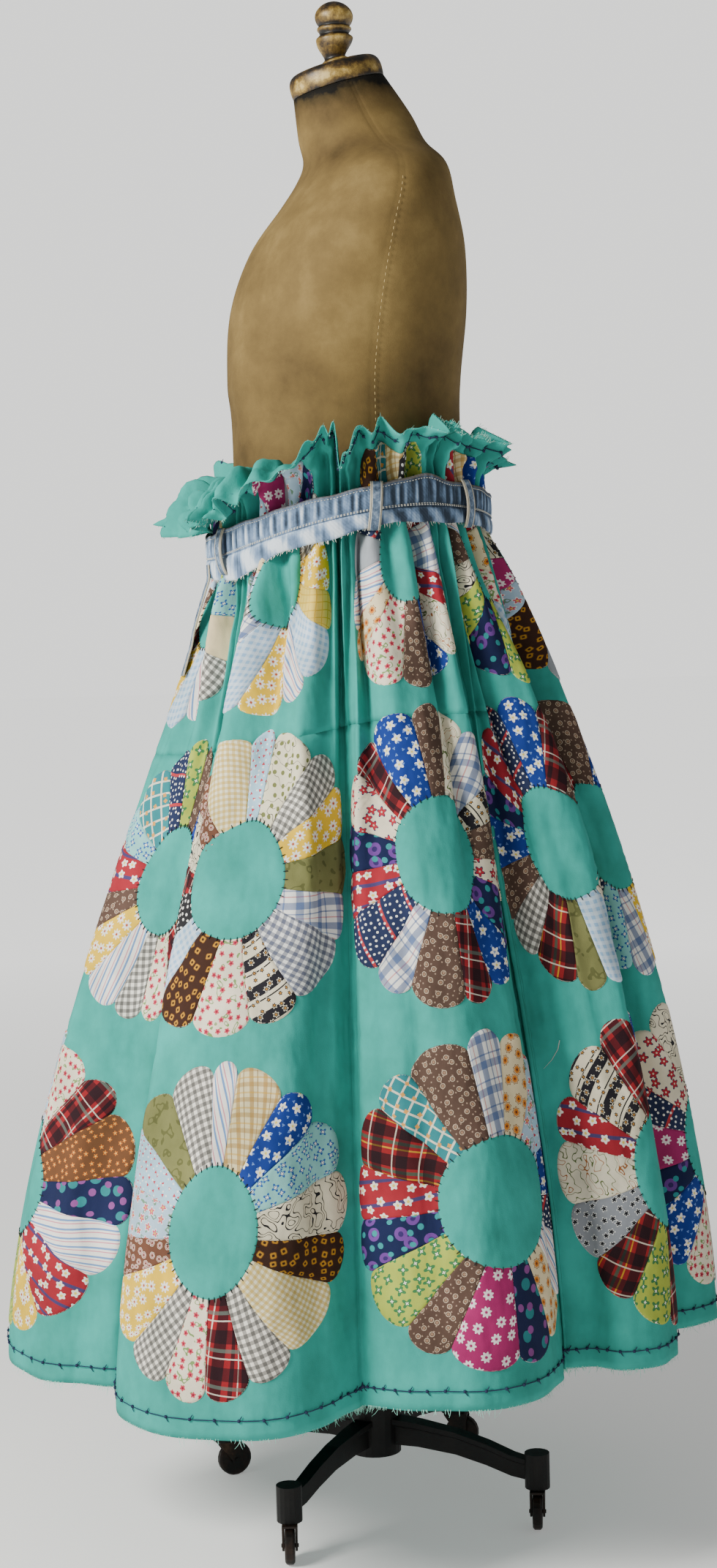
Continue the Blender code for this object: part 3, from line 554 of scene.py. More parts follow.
PLATE_RADIUS, SHOULDER, CENTRE_RADIUS, PETAL_FOOT = 0.166, 0.147, 0.0655, 0.058
PETAL_OVERLAP, UNEVEN_TIPS, PETAL_LIFT, EDGE_DIP = 1.03, 0.002, 0.0021, 0.0004
SQUEEZE, SQUEEZE_REACH = 0.16, 0.19
WAIST_SQUEEZE, WAIST_REACH, TOP_BORDER = 0.58, 0.21, 0.024
# plates that don't sit in the middle of their fold: shift in place, reach to the left and the
# right, and how far the middle is squeezed
OFF_CENTRE = {
    "A2": (0.27, 0.78, 0.52, 0.16),
    "A3": (-0.09, 1.00, 1.00, 0.16),
    "B2": (0.02, 1.04, 1.04, 0.30),
    "B3": (0.05, 0.92, 0.90, 0.55),
    "C2": (0.00, 1.00, 1.00, 0.24),
    "C3": (0.05, 1.00, 1.00, 0.20),
    "D2": (-0.10, 0.90, 1.00, 0.16),
    "D3": (0.08, 1.00, 0.86, 0.16),
    "E2": (-0.16, 0.80, 1.00, 0.16),
}
plates = [(row, index) for row in (1, 2, 3) for index in range(10)]


def plate_prints(row, index):
    """Prints of one plate: from the table in view, and otherwise stepped through the whole list."""
    name = f"{COLUMNS[index][0]}{row}"
    if name in PLATES:
        return PLATES[name].split()
    start = 11 * index + 5 * row
    return [ALL_PRINTS[(start + 7 * k) % len(ALL_PRINTS)] for k in range(16 + (index + row) % 2)]


def on_plate(row, index, radius, angle):
    """Cloth coordinates of a point of a plate, from its radius in metres and its angle clockwise
    from the top. The middle is narrowed by 1 - squeeze (1 - (x / reach)^2)."""
    shift, left, right, squeeze = OFF_CENTRE.get(f"{COLUMNS[index][0]}{row}", (0, 1, 1, SQUEEZE))
    across, up = radius * np.sin(angle), radius * np.cos(angle)
    side = np.where(across < 0, left, right)
    narrowed = across * side * (1 - squeeze * np.clip(1 - (np.abs(across) / SQUEEZE_REACH) ** 2, 0, 1))
    drop = ROW_CENTRES[row] - up * ROW_REACH[row] / PLATE_RADIUS
    drawn_in = WAIST_SQUEEZE + (1 - WAIST_SQUEEZE) * ease_between(drop, 0.0, WAIST_REACH)
    place = index + 0.5 + shift + narrowed * drawn_in / BLOCK
    return place, np.maximum(drop, raw_edge(place) + TOP_BORDER)


petal_across = np.sin(np.linspace(-math.pi / 2, math.pi / 2, 17))
petal_along = 1 - (1 - np.linspace(0, 1, 20)) ** 1.4
petal_print, petal_spot, petal_turn = [], [], []
for row, index in plates:
    prints = plate_prints(row, index)
    count = len(prints)
    seams = [(number - 0.5 + 0.10 * math.sin(3.7 * number + index)) * TURN / count for number in range(count)]
    seams.append(seams[0] + TURN)
    for number, key in enumerate(prints):
        middle, half = (seams[number] + seams[number + 1]) / 2, (seams[number + 1] - seams[number]) / 2
        tip = PLATE_RADIUS + UNEVEN_TIPS * math.sin(5.3 * number + 2.1 * index + row)
        end = SHOULDER + (tip - SHOULDER) * np.sqrt(1 - petal_across**2)
        radius = PETAL_FOOT + (end - PETAL_FOOT) * petal_along[:, None]
        petal_spot.append(on_plate(row, index, radius, middle + petal_across * half * PETAL_OVERLAP))
        petal_print.append(key)
        petal_turn.append(0.35 * math.sin(12.9 * number + 7.7 * index + row))
petal_print = np.array(petal_print)
petal_place, petal_drop = np.moveaxis(np.array(petal_spot), 1, 0)
lift = PETAL_LIFT * (1 - np.abs(petal_across) ** 30) * (1 - petal_along[:, None] ** 90) - EDGE_DIP
petal_points = cloth(petal_place, petal_drop) + cloth_out(petal_place, petal_drop) * lift[..., None]
print("petals:", len(petal_print))


# %% Flat maps of the petals
def flat_petal(points):
    """Real lengths over each petal in metres: along its rows from the middle, and down its columns."""
    across, along = np.zeros(points.shape[:3]), np.zeros(points.shape[:3])
    across[:, :, 1:] = np.cumsum(np.linalg.norm(np.diff(points, axis=2), axis=-1), axis=2)
    along[:, 1:] = np.cumsum(np.linalg.norm(np.diff(points, axis=1), axis=-1), axis=1)
    return across - across[:, :, points.shape[2] // 2, None], along


petal_x, petal_y = flat_petal(petal_points)
half_width = np.abs(petal_x[:, :, [0, -1]]).max(axis=2)[..., None]
petal_edge = 1000 * np.minimum(half_width - np.abs(petal_x), petal_y[:, -1:] - petal_y)
turn = np.array(petal_turn)[:, None, None]
shift = np.arange(len(petal_print))[:, None, None]
flat_x = petal_x * np.cos(turn) - petal_y * np.sin(turn) + 0.371 * (shift % 7)
flat_y = petal_x * np.sin(turn) + petal_y * np.cos(turn) + 0.293 * (shift % 11)
petal_flat = np.stack([flat_x, flat_y], axis=-1)
petal_pieces = {}
for key in ALL_PRINTS:
    chosen = petal_print == key
    if chosen.any():
        points, flat = petal_points[chosen], petal_flat[chosen]
        quads = many_grids(points)[:, ::-1]
        petal_pieces[key] = new_piece(f"petals_{key}", points, quads, flat, edge=petal_edge[chosen])
print("prints in use:", len(petal_pieces))

# %% [markdown]
# The centres are discs of the ground cotton. A disc is a grid of angle and radius whose middle is
# closed by one last tiny ring, and it lies just over the petals' points.

# %% Plate centres
DISC_TURNS = 44
disc_turns = np.arange(DISC_TURNS) * TURN / DISC_TURNS
disc_rings = np.array([1.0, 0.985, 0.95, 0.86, 0.75, 0.63, 0.50, 0.37, 0.24, 0.12, 0.02])
disc_lift = np.interp(disc_rings, [0.86, 0.95, 0.985, 1.0], [0.0023, 0.0021, 0.0016, 0.0])
disc_radius = CENTRE_RADIUS * disc_rings[:, None]
disc_spot = np.array([on_plate(*plate, disc_radius, disc_turns) for plate in plates])
disc_place, disc_drop = np.moveaxis(disc_spot, 1, 0)
disc_points = cloth(disc_place, disc_drop) + cloth_out(disc_place, disc_drop) * disc_lift[:, None, None]
disc_flat = np.stack([disc_place * BLOCK, -disc_drop * CUT_DROP], axis=-1)
disc_size = len(disc_rings) * DISC_TURNS
last_ring = (np.arange(1, len(plates) + 1) * disc_size)[:, None] - DISC_TURNS
spokes = np.arange(1, DISC_TURNS - 1, 2)
cap = np.stack([last_ring + corner for corner in (spokes + 2, spokes + 1, spokes, 0 * spokes)], -1)
quads = np.concatenate([many_grids(disc_points, around=True), cap.reshape(-1, 4)])
plate_centres = new_piece("plate_centres", disc_points, quads, disc_flat)
print("centres:", len(plates))

# %% [markdown]
# ## Hand stitches
# Dark blanket stitches hold each centre, and a line of navy feather stitch with a knot every 16 mm
# runs above the raw hem and under the raw edge of the header. A stitch is a short bar of thread that
# lies on the cloth, its section a half hexagon, and a knot is a small bead. Curves with a bevel
# could do it too, but thousands of them are slow, and these are worked out at once as one array.

# %% Bars and knots of thread
def thread_shapes(name, spine, side, up, turns, half):
    """Equal small solids, one a spine: sections of (side cos t + up sin t) times a half width."""
    ring = side[:, None, None] * np.cos(turns)[:, None] + up[:, None, None] * np.sin(turns)[:, None]
    points = spine[:, :, None] + ring * half[:, None, None]
    return new_piece(name, points, many_grids(points, around=True)[:, ::-1])


def thread_bars(name, start, end, out, thick, sag):
    """Bars from start to end with half-hexagon sections, bowed outwards in the middle by sag."""
    along = np.array([0.0, 0.25, 0.75, 1.0])
    bow = np.array([0.0, 1.0, 1.0, 0.0]) * sag
    half = np.array([0.6, 1.0, 1.0, 0.6]) * thick / 2
    way = end - start
    spine = start[:, None] + way[:, None] * along[:, None] + out[:, None] * bow[:, None]
    return thread_shapes(name, spine, unit(np.cross(out, way)), out, np.radians([0, 60, 120, 180, 270]), half)


def knots(name, middle, out, across, size):
    """Beads of thread: five rings of six points, flattened towards the cloth."""
    rise = np.array([-0.5, 0.0, 0.55, 0.9, 1.0]) * size * 0.45
    half = np.array([0.8, 1.0, 0.8, 0.35, 0.02]) * size / 2
    spine = middle[:, None] + out[:, None] * rise[:, None]
    return thread_shapes(name, spine, across, np.cross(out, across), np.arange(6) * TURN / 6, half)


CENTRE_STITCHES, STITCH_IN, STITCH_OUT, OVER_CENTRE = 46, 0.0035, 0.0018, 0.0021
THREAD, THREAD_SAG = 0.0011, 0.0004
stitch_turns = np.arange(CENTRE_STITCHES) * TURN / CENTRE_STITCHES
stitch_ends = []
for reach in (CENTRE_RADIUS - STITCH_IN, CENTRE_RADIUS + STITCH_OUT):
    spot = np.array([on_plate(*plate, reach, stitch_turns) for plate in plates])
    out = cloth_out(spot[:, 0], spot[:, 1]).reshape(-1, 3)
    stitch_ends.append(cloth(spot[:, 0], spot[:, 1]).reshape(-1, 3) + out * OVER_CENTRE)
centre_stitches = thread_bars("centre_stitches", *stitch_ends, out, THREAD, THREAD_SAG)
print("centre stitches:", len(out))


# %% Feather stitch along both raw edges
HEM_KNOTS, TOP_KNOTS, HEM_INSET, TOP_INSET = 230, 220, -0.0225, 0.0125
KNOT, RUN_THREAD, RUN_SAG, BARB_ACROSS, BARB_UP = 0.0042, 0.0012, 0.0006, 0.0035, 0.0050


def feather_stitch(name, places, edge_drop, inset):
    """Knots on a line that keeps its distance from a raw edge, a running thread between them, and
    a short barb at each knot, up and down by turns."""
    middle, out, across = cloth_frame(places, edge_drop + inset)
    raised = middle + out * THREAD
    beads = knots(f"{name}_knots", raised, out, across, KNOT)
    run = thread_bars(f"{name}_run", raised, np.roll(raised, -1, axis=0), out, RUN_THREAD, RUN_SAG)
    lean = np.where(np.arange(len(places)) % 2, 1.0, -1.0)[:, None]
    tip = raised + across * BARB_ACROSS + np.cross(out, across) * BARB_UP * lean
    return [beads, run, thread_bars(f"{name}_barbs", raised, tip, out, THREAD, THREAD_SAG)]


knot_places = np.arange(HEM_KNOTS) * 10 / HEM_KNOTS
edge_stitches = feather_stitch("hem_stitch", knot_places, 1.0, HEM_INSET)
knot_places = np.arange(TOP_KNOTS) * 10 / TOP_KNOTS
edge_stitches += feather_stitch("top_stitch", knot_places, raw_edge(knot_places), TOP_INSET)
print("knots:", HEM_KNOTS + TOP_KNOTS)

# %% [markdown]
# ## Raw edges
# Torn cotton frays into single threads. Each is a narrow ribbon of three steps that leaves the edge
# and drifts aside, with its length and lean from a seeded random table. A few long loose ends hang
# lower on the skirt, as on any old quilt top. Hair could draw them too, but it isn't a mesh, and
# a thread this thin shows only its width.

# %% Frayed threads
chance = np.random.default_rng(7)
DOWN = np.array([[0.0, 0.0, -1.0]])
HEM_THREADS, TOP_THREADS, LOOSE_THREADS = 1800, 1500, 46
FINE_THREAD, LOOSE_THREAD = 0.0006, 0.0009


def frayed_threads(name, base, out, across, heading, length, width=FINE_THREAD):
    """Ribbons that leave base points along a heading, with a drift that grows with their length."""
    along = np.array([0.0, 0.35, 0.7, 1.0])
    drift = chance.normal(0, 0.35, len(base))[:, None, None] * across[:, None]
    lift = chance.uniform(-0.1, 0.5, len(base))[:, None, None] * out[:, None]
    way = heading[:, None] * along[:, None] + (drift + lift) * along[:, None] ** 2
    spine = base[:, None] + way * length[:, None, None]
    half = across[:, None] * (width / 2 * np.array([1.0, 0.9, 0.8, 0.4]))[:, None]
    points = np.stack([spine - half, spine + half], axis=2)
    return new_piece(name, points, many_grids(points))


def fray_lengths(count, spread, least):
    """Lengths from a gamma distribution of shape 3 over a least length: most short, a few long."""
    return chance.gamma(3.0, spread, count) + least


fray_places = chance.uniform(0, 10, HEM_THREADS)
fray_length = fray_lengths(HEM_THREADS, 0.0012, 0.0015)
hem_fray = frayed_threads("hem_fray", *cloth_frame(fray_places, 0.9985), DOWN, fray_length)
fray_places = chance.uniform(0, 10, TOP_THREADS)
edge = raw_edge(fray_places)
upward = unit(cloth(fray_places, edge + 0.001) - cloth(fray_places, edge + 0.006))
fray_length = fray_lengths(TOP_THREADS, 0.0009, 0.001)
top_fray = frayed_threads("top_fray", *cloth_frame(fray_places, edge + 0.0015), upward, fray_length)
fray_places = chance.uniform(0, 10, LOOSE_THREADS)
ends_frame = cloth_frame(fray_places, chance.uniform(0.08, 0.9, LOOSE_THREADS))
fray_length = chance.uniform(0.012, 0.045, LOOSE_THREADS)
loose_ends = frayed_threads("loose_ends", *ends_frame, DOWN, fray_length, LOOSE_THREAD)
print("frayed threads:", HEM_THREADS + TOP_THREADS + LOOSE_THREADS)

# %% [markdown]
# ## The jeans waistband
# The band is a profile carried round the oval of the waist: a rolled top edge, a flat face and a
# folded lower strip. Its face swells and pinches a little between the belt loops, as washed denim
# does where it was eased on. Height and depth of the wave go with sines of whole numbers. A flat
# strip with a Solidify modifier would be quicker, but its edges wouldn't roll.

# %% Denim band
# share of the band's height, how far it stands proud in metres
BAND_PROFILE = (
    (0.97, -0.0020), (1.01, -0.0008), (1.03, 0.0008), (1.02, 0.0022), (0.985, 0.0030), (0.955, 0.0026),
    (0.93, 0.0013), (0.90, 0.0019), (0.80, 0.0021), (0.68, 0.0022), (0.56, 0.0021), (0.46, 0.0018),
    (0.425, 0.0012), (0.40, 0.0020), (0.375, 0.0018), (0.36, 0.0002), (0.345, 0.0012), (0.30, 0.0024),
    (0.20, 0.0028), (0.10, 0.0026), (0.02, 0.0020), (-0.03, 0.0012), (-0.04, 0.0002), (0.02, -0.0016),
    (0.50, -0.0022),
)
# share of the height and proudness of the three rows of machine stitches
BAND_ROWS = ((0.93, 0.0017), (0.425, 0.0016), (0.395, 0.0022))
BAND_STEPS, BAND_AROUND, BAND_SEAM = 960, 1.065, 0.36
PUCKER, FINE_PUCKER, SOFT_PUCKER = 0.0007, 0.0004, 0.0010
STITCHES_ROUND, DENIM_THREADS, MACHINE_THREAD, MACHINE_SAG = 300, 520, 0.0009, 0.0003


def band_surface(azimuth, share, proud):
    """A point of the band: the waist oval plus what it stands proud, its height by share."""
    radius = oval_radius(azimuth, WAIST_X, WAIST_Y) + proud
    return at_azimuth(azimuth, radius, band_height(azimuth) + (share - 0.5) * BAND_HEIGHT)


def near_angle(azimuth, degrees, half):
    """1 at an azimuth, falling to 0 over a half width in degrees, as exp(-(off / half)^2)."""
    return bell((np.degrees(azimuth) - degrees + 180) % 360 - 180, half)


def worn_share(azimuth, share):
    """Shares moved by wear: a wavy edge, a rise on the right and a droop of the lower strip in front."""
    upper = np.clip((share - BAND_SEAM) / (1 - BAND_SEAM), 0, 1)
    lower = np.clip((BAND_SEAM - share) / BAND_SEAM, 0, 1)
    wave = 0.025 * np.sin(9 * azimuth + 1) + 0.015 * np.sin(23 * azimuth)
    rise = 0.20 * near_angle(azimuth, 17, 9) + 0.08 * near_angle(azimuth, -60, 14) + wave
    droop = 0.30 * near_angle(azimuth, -66, 20) + 0.10 * near_angle(azimuth, -25, 12) - wave
    return share + rise * upper - droop * lower


def denim_pucker(azimuth, share):
    """Height of the small puckers that the rows of stitches draw up, and of the soft lower strip."""
    between = ease_between(share, 0.40, 0.50) * (1 - ease_between(share, 0.86, 0.94))
    tight = PUCKER * np.sin(88 * azimuth + 1.5 * np.sin(5 * azimuth))
    tight += FINE_PUCKER * np.sin(139 * azimuth + 2)
    soft = SOFT_PUCKER * np.sin(31 * azimuth + 2 * np.sin(3 * azimuth) + 5 * share)
    return tight * between + soft * (1 - ease_between(share, 0.25, BAND_SEAM))


band_turns = np.arange(BAND_STEPS) * TURN / BAND_STEPS
profile = np.array(BAND_PROFILE)
share, proud = profile[:, :1], profile[:, 1:]
pucker = denim_pucker(band_turns, share)
worn_proud = proud + ease_between(proud, -0.001, 0.001) * pucker
band_points = band_surface(band_turns, worn_share(band_turns, share), worn_proud)
band_flat = np.stack([band_turns / TURN * BAND_AROUND + 0 * share, share * BAND_HEIGHT + 0 * band_turns], -1)
# painted shade: the band is darkened on its right side, round 30 degrees of azimuth, less on its lower strip
right_side = np.clip(near_angle(band_turns, 30, 34) * 1.4, 0, 1)
painted_shade_right = right_side * (1 - 0.35 * ease_between(share, BAND_SEAM, 0.5))
rubbed = 0.45 + 330 * pucker + 0.25 * (share < BAND_SEAM - 0.01) - 0.42 * painted_shade_right
soiled = ease_between(share, 0.95, 1.0) + 0 * band_turns
quads = grid_quads(*band_points.shape[:2], around=True, closed=True)
waistband = new_piece("denim_band", band_points, quads, band_flat, rubbed=rubbed, soiled=soiled)
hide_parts("waistband")


def band_stitch_row(name, share, proud):
    """Machine stitches round the band: bars over three fifths of each step, on the band's puckers."""
    steps = np.arange(STITCHES_ROUND) * TURN / STITCHES_ROUND
    ends = [band_surface(turned, worn_share(turned, share), proud + denim_pucker(turned, share))
            for turned in (steps, steps + 0.6 * TURN / STITCHES_ROUND)]
    return thread_bars(name, *ends, level_way(steps), MACHINE_THREAD, MACHINE_SAG)


band_stitches = [band_stitch_row(f"band_stitches_{number}", *row) for number, row in enumerate(BAND_ROWS, 1)]
fray_turns = chance.uniform(0, TURN, DENIM_THREADS)
fray_base = band_surface(fray_turns, worn_share(fray_turns, -0.03), 0.0010)
fray_length = fray_lengths(DENIM_THREADS, 0.0007, 0.0006)
fray_across = level_way(fray_turns + TURN / 4)
denim_fray = frayed_threads("denim_fray", fray_base, level_way(fray_turns), fray_across, DOWN, fray_length)
print("band:", len(profile), "by", BAND_STEPS)

# %% [markdown]
# A belt loop is a folded strip sewn down over the band, and the hanging strip is more of the same.
# Both are one soft-edged section carried along a middle line.

# %% Belt loops and the hanging strip
LOOPS = (-72, -4, 37, 118, 212)
LOOP_WIDTH, LOOP_BULGE, LOOP_THICK, LOOP_LOW, LOOP_HIGH = 0.0145, 0.0070, 0.0030, -0.14, 1.12
TAIL_WIDTH, TAIL_THICK, TAIL_TOP, TAIL_END, TAIL_TURN = 0.018, 0.0024, -0.012, 0.128, -92.0
TAIL_LEAST, TAIL_PROUD, LOOP_PROUD, STRIP_SIDES = 0.171, 0.0022, 0.0034, 16
TAIL_SWING, TAIL_WAVES, TAIL_SLACK = 1.2, 55, 0.92


def strip_shell(name, node, middle, turn, width, thick):
    """A closed strip with soft edges along a middle line: its section is w |cos|^0.35 by t |sin|^0.6,
    level and square to the azimuth of each step."""
    turns = np.arange(STRIP_SIDES) * TURN / STRIP_SIDES
    wide = np.sign(np.cos(turns)) * np.abs(np.cos(turns)) ** 0.35 * width / 2
    deep = np.sign(np.sin(turns)) * np.abs(np.sin(turns)) ** 0.6 * thick / 2
    aside, out = level_way(turn + TURN / 4)[:, None], level_way(turn)[:, None]
    points = middle[:, None] + aside * wide[:, None] + out * deep[:, None]
    steps = np.concatenate([[0], np.cumsum(np.linalg.norm(np.diff(middle, axis=0), axis=1))])[:, None]
    flat = np.stack([wide + 0 * steps, steps + 0 * wide], -1)
    k = np.arange(STRIP_SIDES // 2 - 1)
    lid = np.stack([k, k + 1, STRIP_SIDES - 2 - k, STRIP_SIDES - 1 - k], -1)
    foot = (len(middle) - 1) * STRIP_SIDES + lid[:, ::-1]
    quads = np.concatenate([grid_quads(len(middle), STRIP_SIDES, around=True), lid, foot])
    strip = new_piece(name, points, quads, flat, edge=1000 * (width / 2 - np.abs(wide) + 0 * steps))
    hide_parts(node)
    return strip


climb = np.linspace(LOOP_LOW, LOOP_HIGH, 25)
climbed = np.clip((climb - LOOP_LOW) / (LOOP_HIGH - LOOP_LOW), 0, 1)
bow = LOOP_BULGE * np.sin(math.pi * climbed) ** 0.7 + LOOP_PROUD
strips = []
for number, degrees in enumerate(LOOPS, 1):
    turn = np.radians(degrees) + 0 * climb
    middle = band_surface(turn + 0.02 * (climb - 0.5) * (-1) ** number, climb, bow)
    strips.append(strip_shell(f"loop_{number}", f"belt_loop_{number}", middle, turn, LOOP_WIDTH, LOOP_THICK))

tail_drop = np.linspace(TAIL_TOP, TAIL_END, 30)
under = cloth(np.linspace(0, 1, 61), np.maximum(tail_drop, 0)[:, None])
reach = np.maximum(np.hypot(under[..., 0], under[..., 1] - AXIS_Y).max(axis=1), TAIL_LEAST) + TAIL_PROUD
turn = np.radians(TAIL_TURN + TAIL_SWING * np.sin(tail_drop * TAIL_WAVES))
height = band_height(turn) - BAND_HEIGHT / 2 - tail_drop * TAIL_SLACK
middle = at_azimuth(turn, reach, height, AXIS_Y)
tail = strip_shell("hanging_strip", "waistband_tail", middle, turn, TAIL_WIDTH, TAIL_THICK)
strips.append(tail)
print("denim strips:", len(strips))

# %% [markdown]
# ## The dress form
# A torso without arms, covered in canvas, with seams at the sides, front and back, a neck cap of
# worn wood and a turned finial. Its rings are eased through the same heights as in the solid, by
# cubic steps: each point is a blend of the four rings round it. Sculpting could make such a body,
# but a short table of rings is easier to check against the solid.

# %% Torso, cap and finial
# height, half width, half depth, centre y, tilt in degrees, wear (under 0 grimed, over 0 rubbed)
TORSO_RINGS = (
    (0.925, 0.108, 0.102, -0.003, 0, 0), (0.931, 0.124, 0.118, -0.003, 0, 0),
    (0.945, 0.132, 0.126, -0.003, 0, 0), (1.000, 0.141, 0.135, -0.003, 0, 0),
    (1.100, 0.140, 0.134, -0.004, 0, 0), (1.290, 0.140, 0.134, -0.004, 0, 0),
    (1.350, 0.147, 0.137, -0.005, 0, 0), (1.430, 0.160, 0.138, 0.002, 0, 0.2),
    (1.500, 0.168, 0.124, 0.014, 0, 0.4), (1.555, 0.162, 0.098, 0.028, 0, 0.4),
    (1.590, 0.134, 0.085, 0.034, 4, 0.2), (1.615, 0.088, 0.072, 0.027, 8, 0),
    (1.645, 0.064, 0.068, 0.016, 12, 0.2), (1.690, 0.053, 0.055, -0.002, 15, -1),
)
# height along the tilted neck, half width, half depth, wear
CAP_RINGS = (
    (0.0004, 0.0515, 0.0535, -1), (0.0012, 0.0530, 0.0550, -0.6), (0.008, 0.0537, 0.0557, 0.7),
    (0.014, 0.0535, 0.0555, 0.5), (0.0195, 0.0522, 0.0542, -0.5), (0.0235, 0.0495, 0.0515, -1),
    (0.0260, 0.0455, 0.0475, -0.3), (0.0266, 0.0400, 0.0420, 0.1),
)
# height over its foot, radius, tilt in degrees, wear
FINIAL_RINGS = (
    (0.000, 0.0145, 15, -1), (0.002, 0.0160, 15, 0), (0.005, 0.0158, 14, 0.6), (0.008, 0.0125, 12, -1),
    (0.013, 0.0145, 10, -0.4), (0.022, 0.0198, 7, 0.1), (0.028, 0.0216, 4, 0.8), (0.031, 0.0212, 3, 0.5),
    (0.0345, 0.0172, 2, -1), (0.037, 0.0178, 1, -0.6), (0.040, 0.0200, 1, 0.7), (0.0425, 0.0196, 0, 0),
    (0.0442, 0.0180, 0, -1), (0.048, 0.0206, 0, 0), (0.053, 0.0222, 0, 0.3), (0.058, 0.0220, 0, 0.4),
    (0.063, 0.0196, 0, 0), (0.068, 0.0146, 0, -0.3), (0.0712, 0.0085, 0, -0.2), (0.0722, 0.0040, 0, 0),
)
NECK_TOP, NECK_Y, CAP_TILT, FINIAL_Y, OVER_CANVAS = 1.690, -0.002, 15, -0.0055, 0.0008
RIDGE, HOLLOW, RIDGE_HALF, HOLLOW_HALF = 0.0007, 0.0010, 0.012, 0.05


def eased_rings(rings, between):
    """A smooth cubic through the rows of a table, with so many steps between two rows. Its slope at
    a row is half the difference of the rows before and after it."""
    rows = np.array(rings, float)
    padded = np.concatenate([2 * rows[:1] - rows[1:2], rows, 2 * rows[-1:] - rows[-2:-1]])[:, None]
    a, b, c, d = padded[:-3], padded[1:-2], padded[2:-1], padded[3:]
    t = (np.arange(between) / between)[:, None]
    eased = 0.5 * (2 * b + (c - a) * t + (2 * a - 5 * b + 4 * c - d) * t**2 + (3 * b - a - 3 * c + d) * t**3)
    return np.concatenate([eased.reshape(-1, rows.shape[1]), rows[-1:]])


def ring_solid(name, node, rings, around, relief=None):
    """Tilted oval rings from a table of height, half width, half depth, centre y, tilt and wear, closed
    at both ends by rings that shrink onto their middle."""
    turns = np.arange(around) * TURN / around
    z, half_x, half_y, y, tilt, wear = (column[:, None] for column in rings.T)
    if relief is not None:
        swell = relief(turns)
        half_x, half_y = half_x + swell, half_y + swell
    lean = np.radians(tilt)
    depth = half_y * np.sin(turns)
    middles = np.stack([0 * z, AXIS_Y + y, z], -1)
    points = middles + np.stack([half_x * np.cos(turns), depth * np.cos(lean), depth * np.sin(lean)], -1)
    low = middles[:1] + (points[:1] - middles[:1]) * np.array([0.02, 0.55])[:, None, None]
    high = middles[-1:] + (points[-1:] - middles[-1:]) * np.array([0.55, 0.02])[:, None, None]
    points = np.concatenate([low, points, high])
    fan = np.arange(0, around - 2, 2)
    base = np.stack([0 * fan, fan + 3, fan + 2, fan + 1], -1)[:-1]
    lid = (len(points) - 1) * around + np.stack([0 * fan, fan + 1, fan + 2, fan + 3], -1)[:-1]
    quads = np.concatenate([grid_quads(len(points), around, around=True)[:, ::-1], base, lid])
    flat = np.stack([turns * 0.15 + 0 * points[..., 0], points[..., 2]], -1)
    wear = np.concatenate([wear[:1], wear[:1], wear, wear[-1:], wear[-1:]]) + 0 * turns
    solid = new_piece(name, points, quads, flat, wear=wear)
    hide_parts(node)
    return solid


def seam_ridge(turns):
    """Sewn seams of the canvas at both sides, front and back: narrow ridges over shallow hollows."""
    off = (turns + TURN / 8) % (TURN / 4) - TURN / 8
    return RIDGE * bell(off, RIDGE_HALF) - HOLLOW * bell(off, HOLLOW_HALF)


def torso_stitches(name, azimuth, low=1.235, high=1.56, count=46):
    """Hand stitches down a seam of the torso: bars over half of each step, on the eased rings."""
    ends, steps = [], np.linspace(low, high, count)
    out = level_way(azimuth + 0 * steps)
    for heights in (steps, steps + 0.5 * (high - low) / count):
        half_x, half_y, y = (np.interp(heights, torso_rings[:, 0], torso_rings[:, c]) for c in (1, 2, 3))
        on_seam = half_x * math.cos(azimuth), AXIS_Y + y + half_y * math.sin(azimuth), heights
        ends.append(np.stack(on_seam, -1) + out * OVER_CANVAS)
    return thread_bars(name, *ends, out, MACHINE_THREAD, MACHINE_SAG)


torso_rings = eased_rings(TORSO_RINGS, 7)
torso = ring_solid("canvas_torso", "form_torso", torso_rings, 256, seam_ridge)
side_stitches = [torso_stitches("stitches_right", 0.0), torso_stitches("stitches_left", math.pi)]
up, half_x, half_y, wear = np.array(CAP_RINGS).T
lean = math.radians(CAP_TILT)
cap_y = NECK_Y - up * math.sin(lean)
cap_rings = np.stack([NECK_TOP + up * math.cos(lean), half_x, half_y, cap_y, CAP_TILT + 0 * up, wear], -1)
neck_cap = ring_solid("neck_cap", "form_neck_cap", eased_rings(cap_rings, 3), 96)
up, radius, tilt, wear = np.array(FINIAL_RINGS).T
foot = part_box("form_finial")[1][2] - FINIAL_RINGS[-1][0]
finial_rings = np.stack([foot + up, radius, radius, FINIAL_Y + 0 * up, tilt, wear], -1)
finial = ring_solid("turned_finial", "form_finial", eased_rings(finial_rings, 4), 64)
print("form rings:", len(TORSO_RINGS), len(CAP_RINGS), len(FINIAL_RINGS))

# %% [markdown]
# ## Cotton and its prints
# Every print is drawn by a few kinds of layer over a ground colour, in millimetres of the petal's
# own flat map. Warp and weft layers are stripes along one thread direction, and a check is both, so
# at half strength over each other they give checks and plaids. A motif layer drops small flowers,
# dots or squares on a loose scatter of cells. A scrawl layer follows the contour lines of a noise.
# Pictures of cloth could do it as well, but these stay sharp from near and copy no one's design.

# %% Print layers
# A Mix node takes an amount at 0, a colour below at 6 and one above at 7, and gives its colour at 2.
# COVER lays one colour over another, as dye or dirt on cloth, and SHADE darkens one by another.
COVER = {"data_type": "RGBA", "blend_type": "MIX"}
SHADE = {"data_type": "RGBA", "blend_type": "MULTIPLY"}


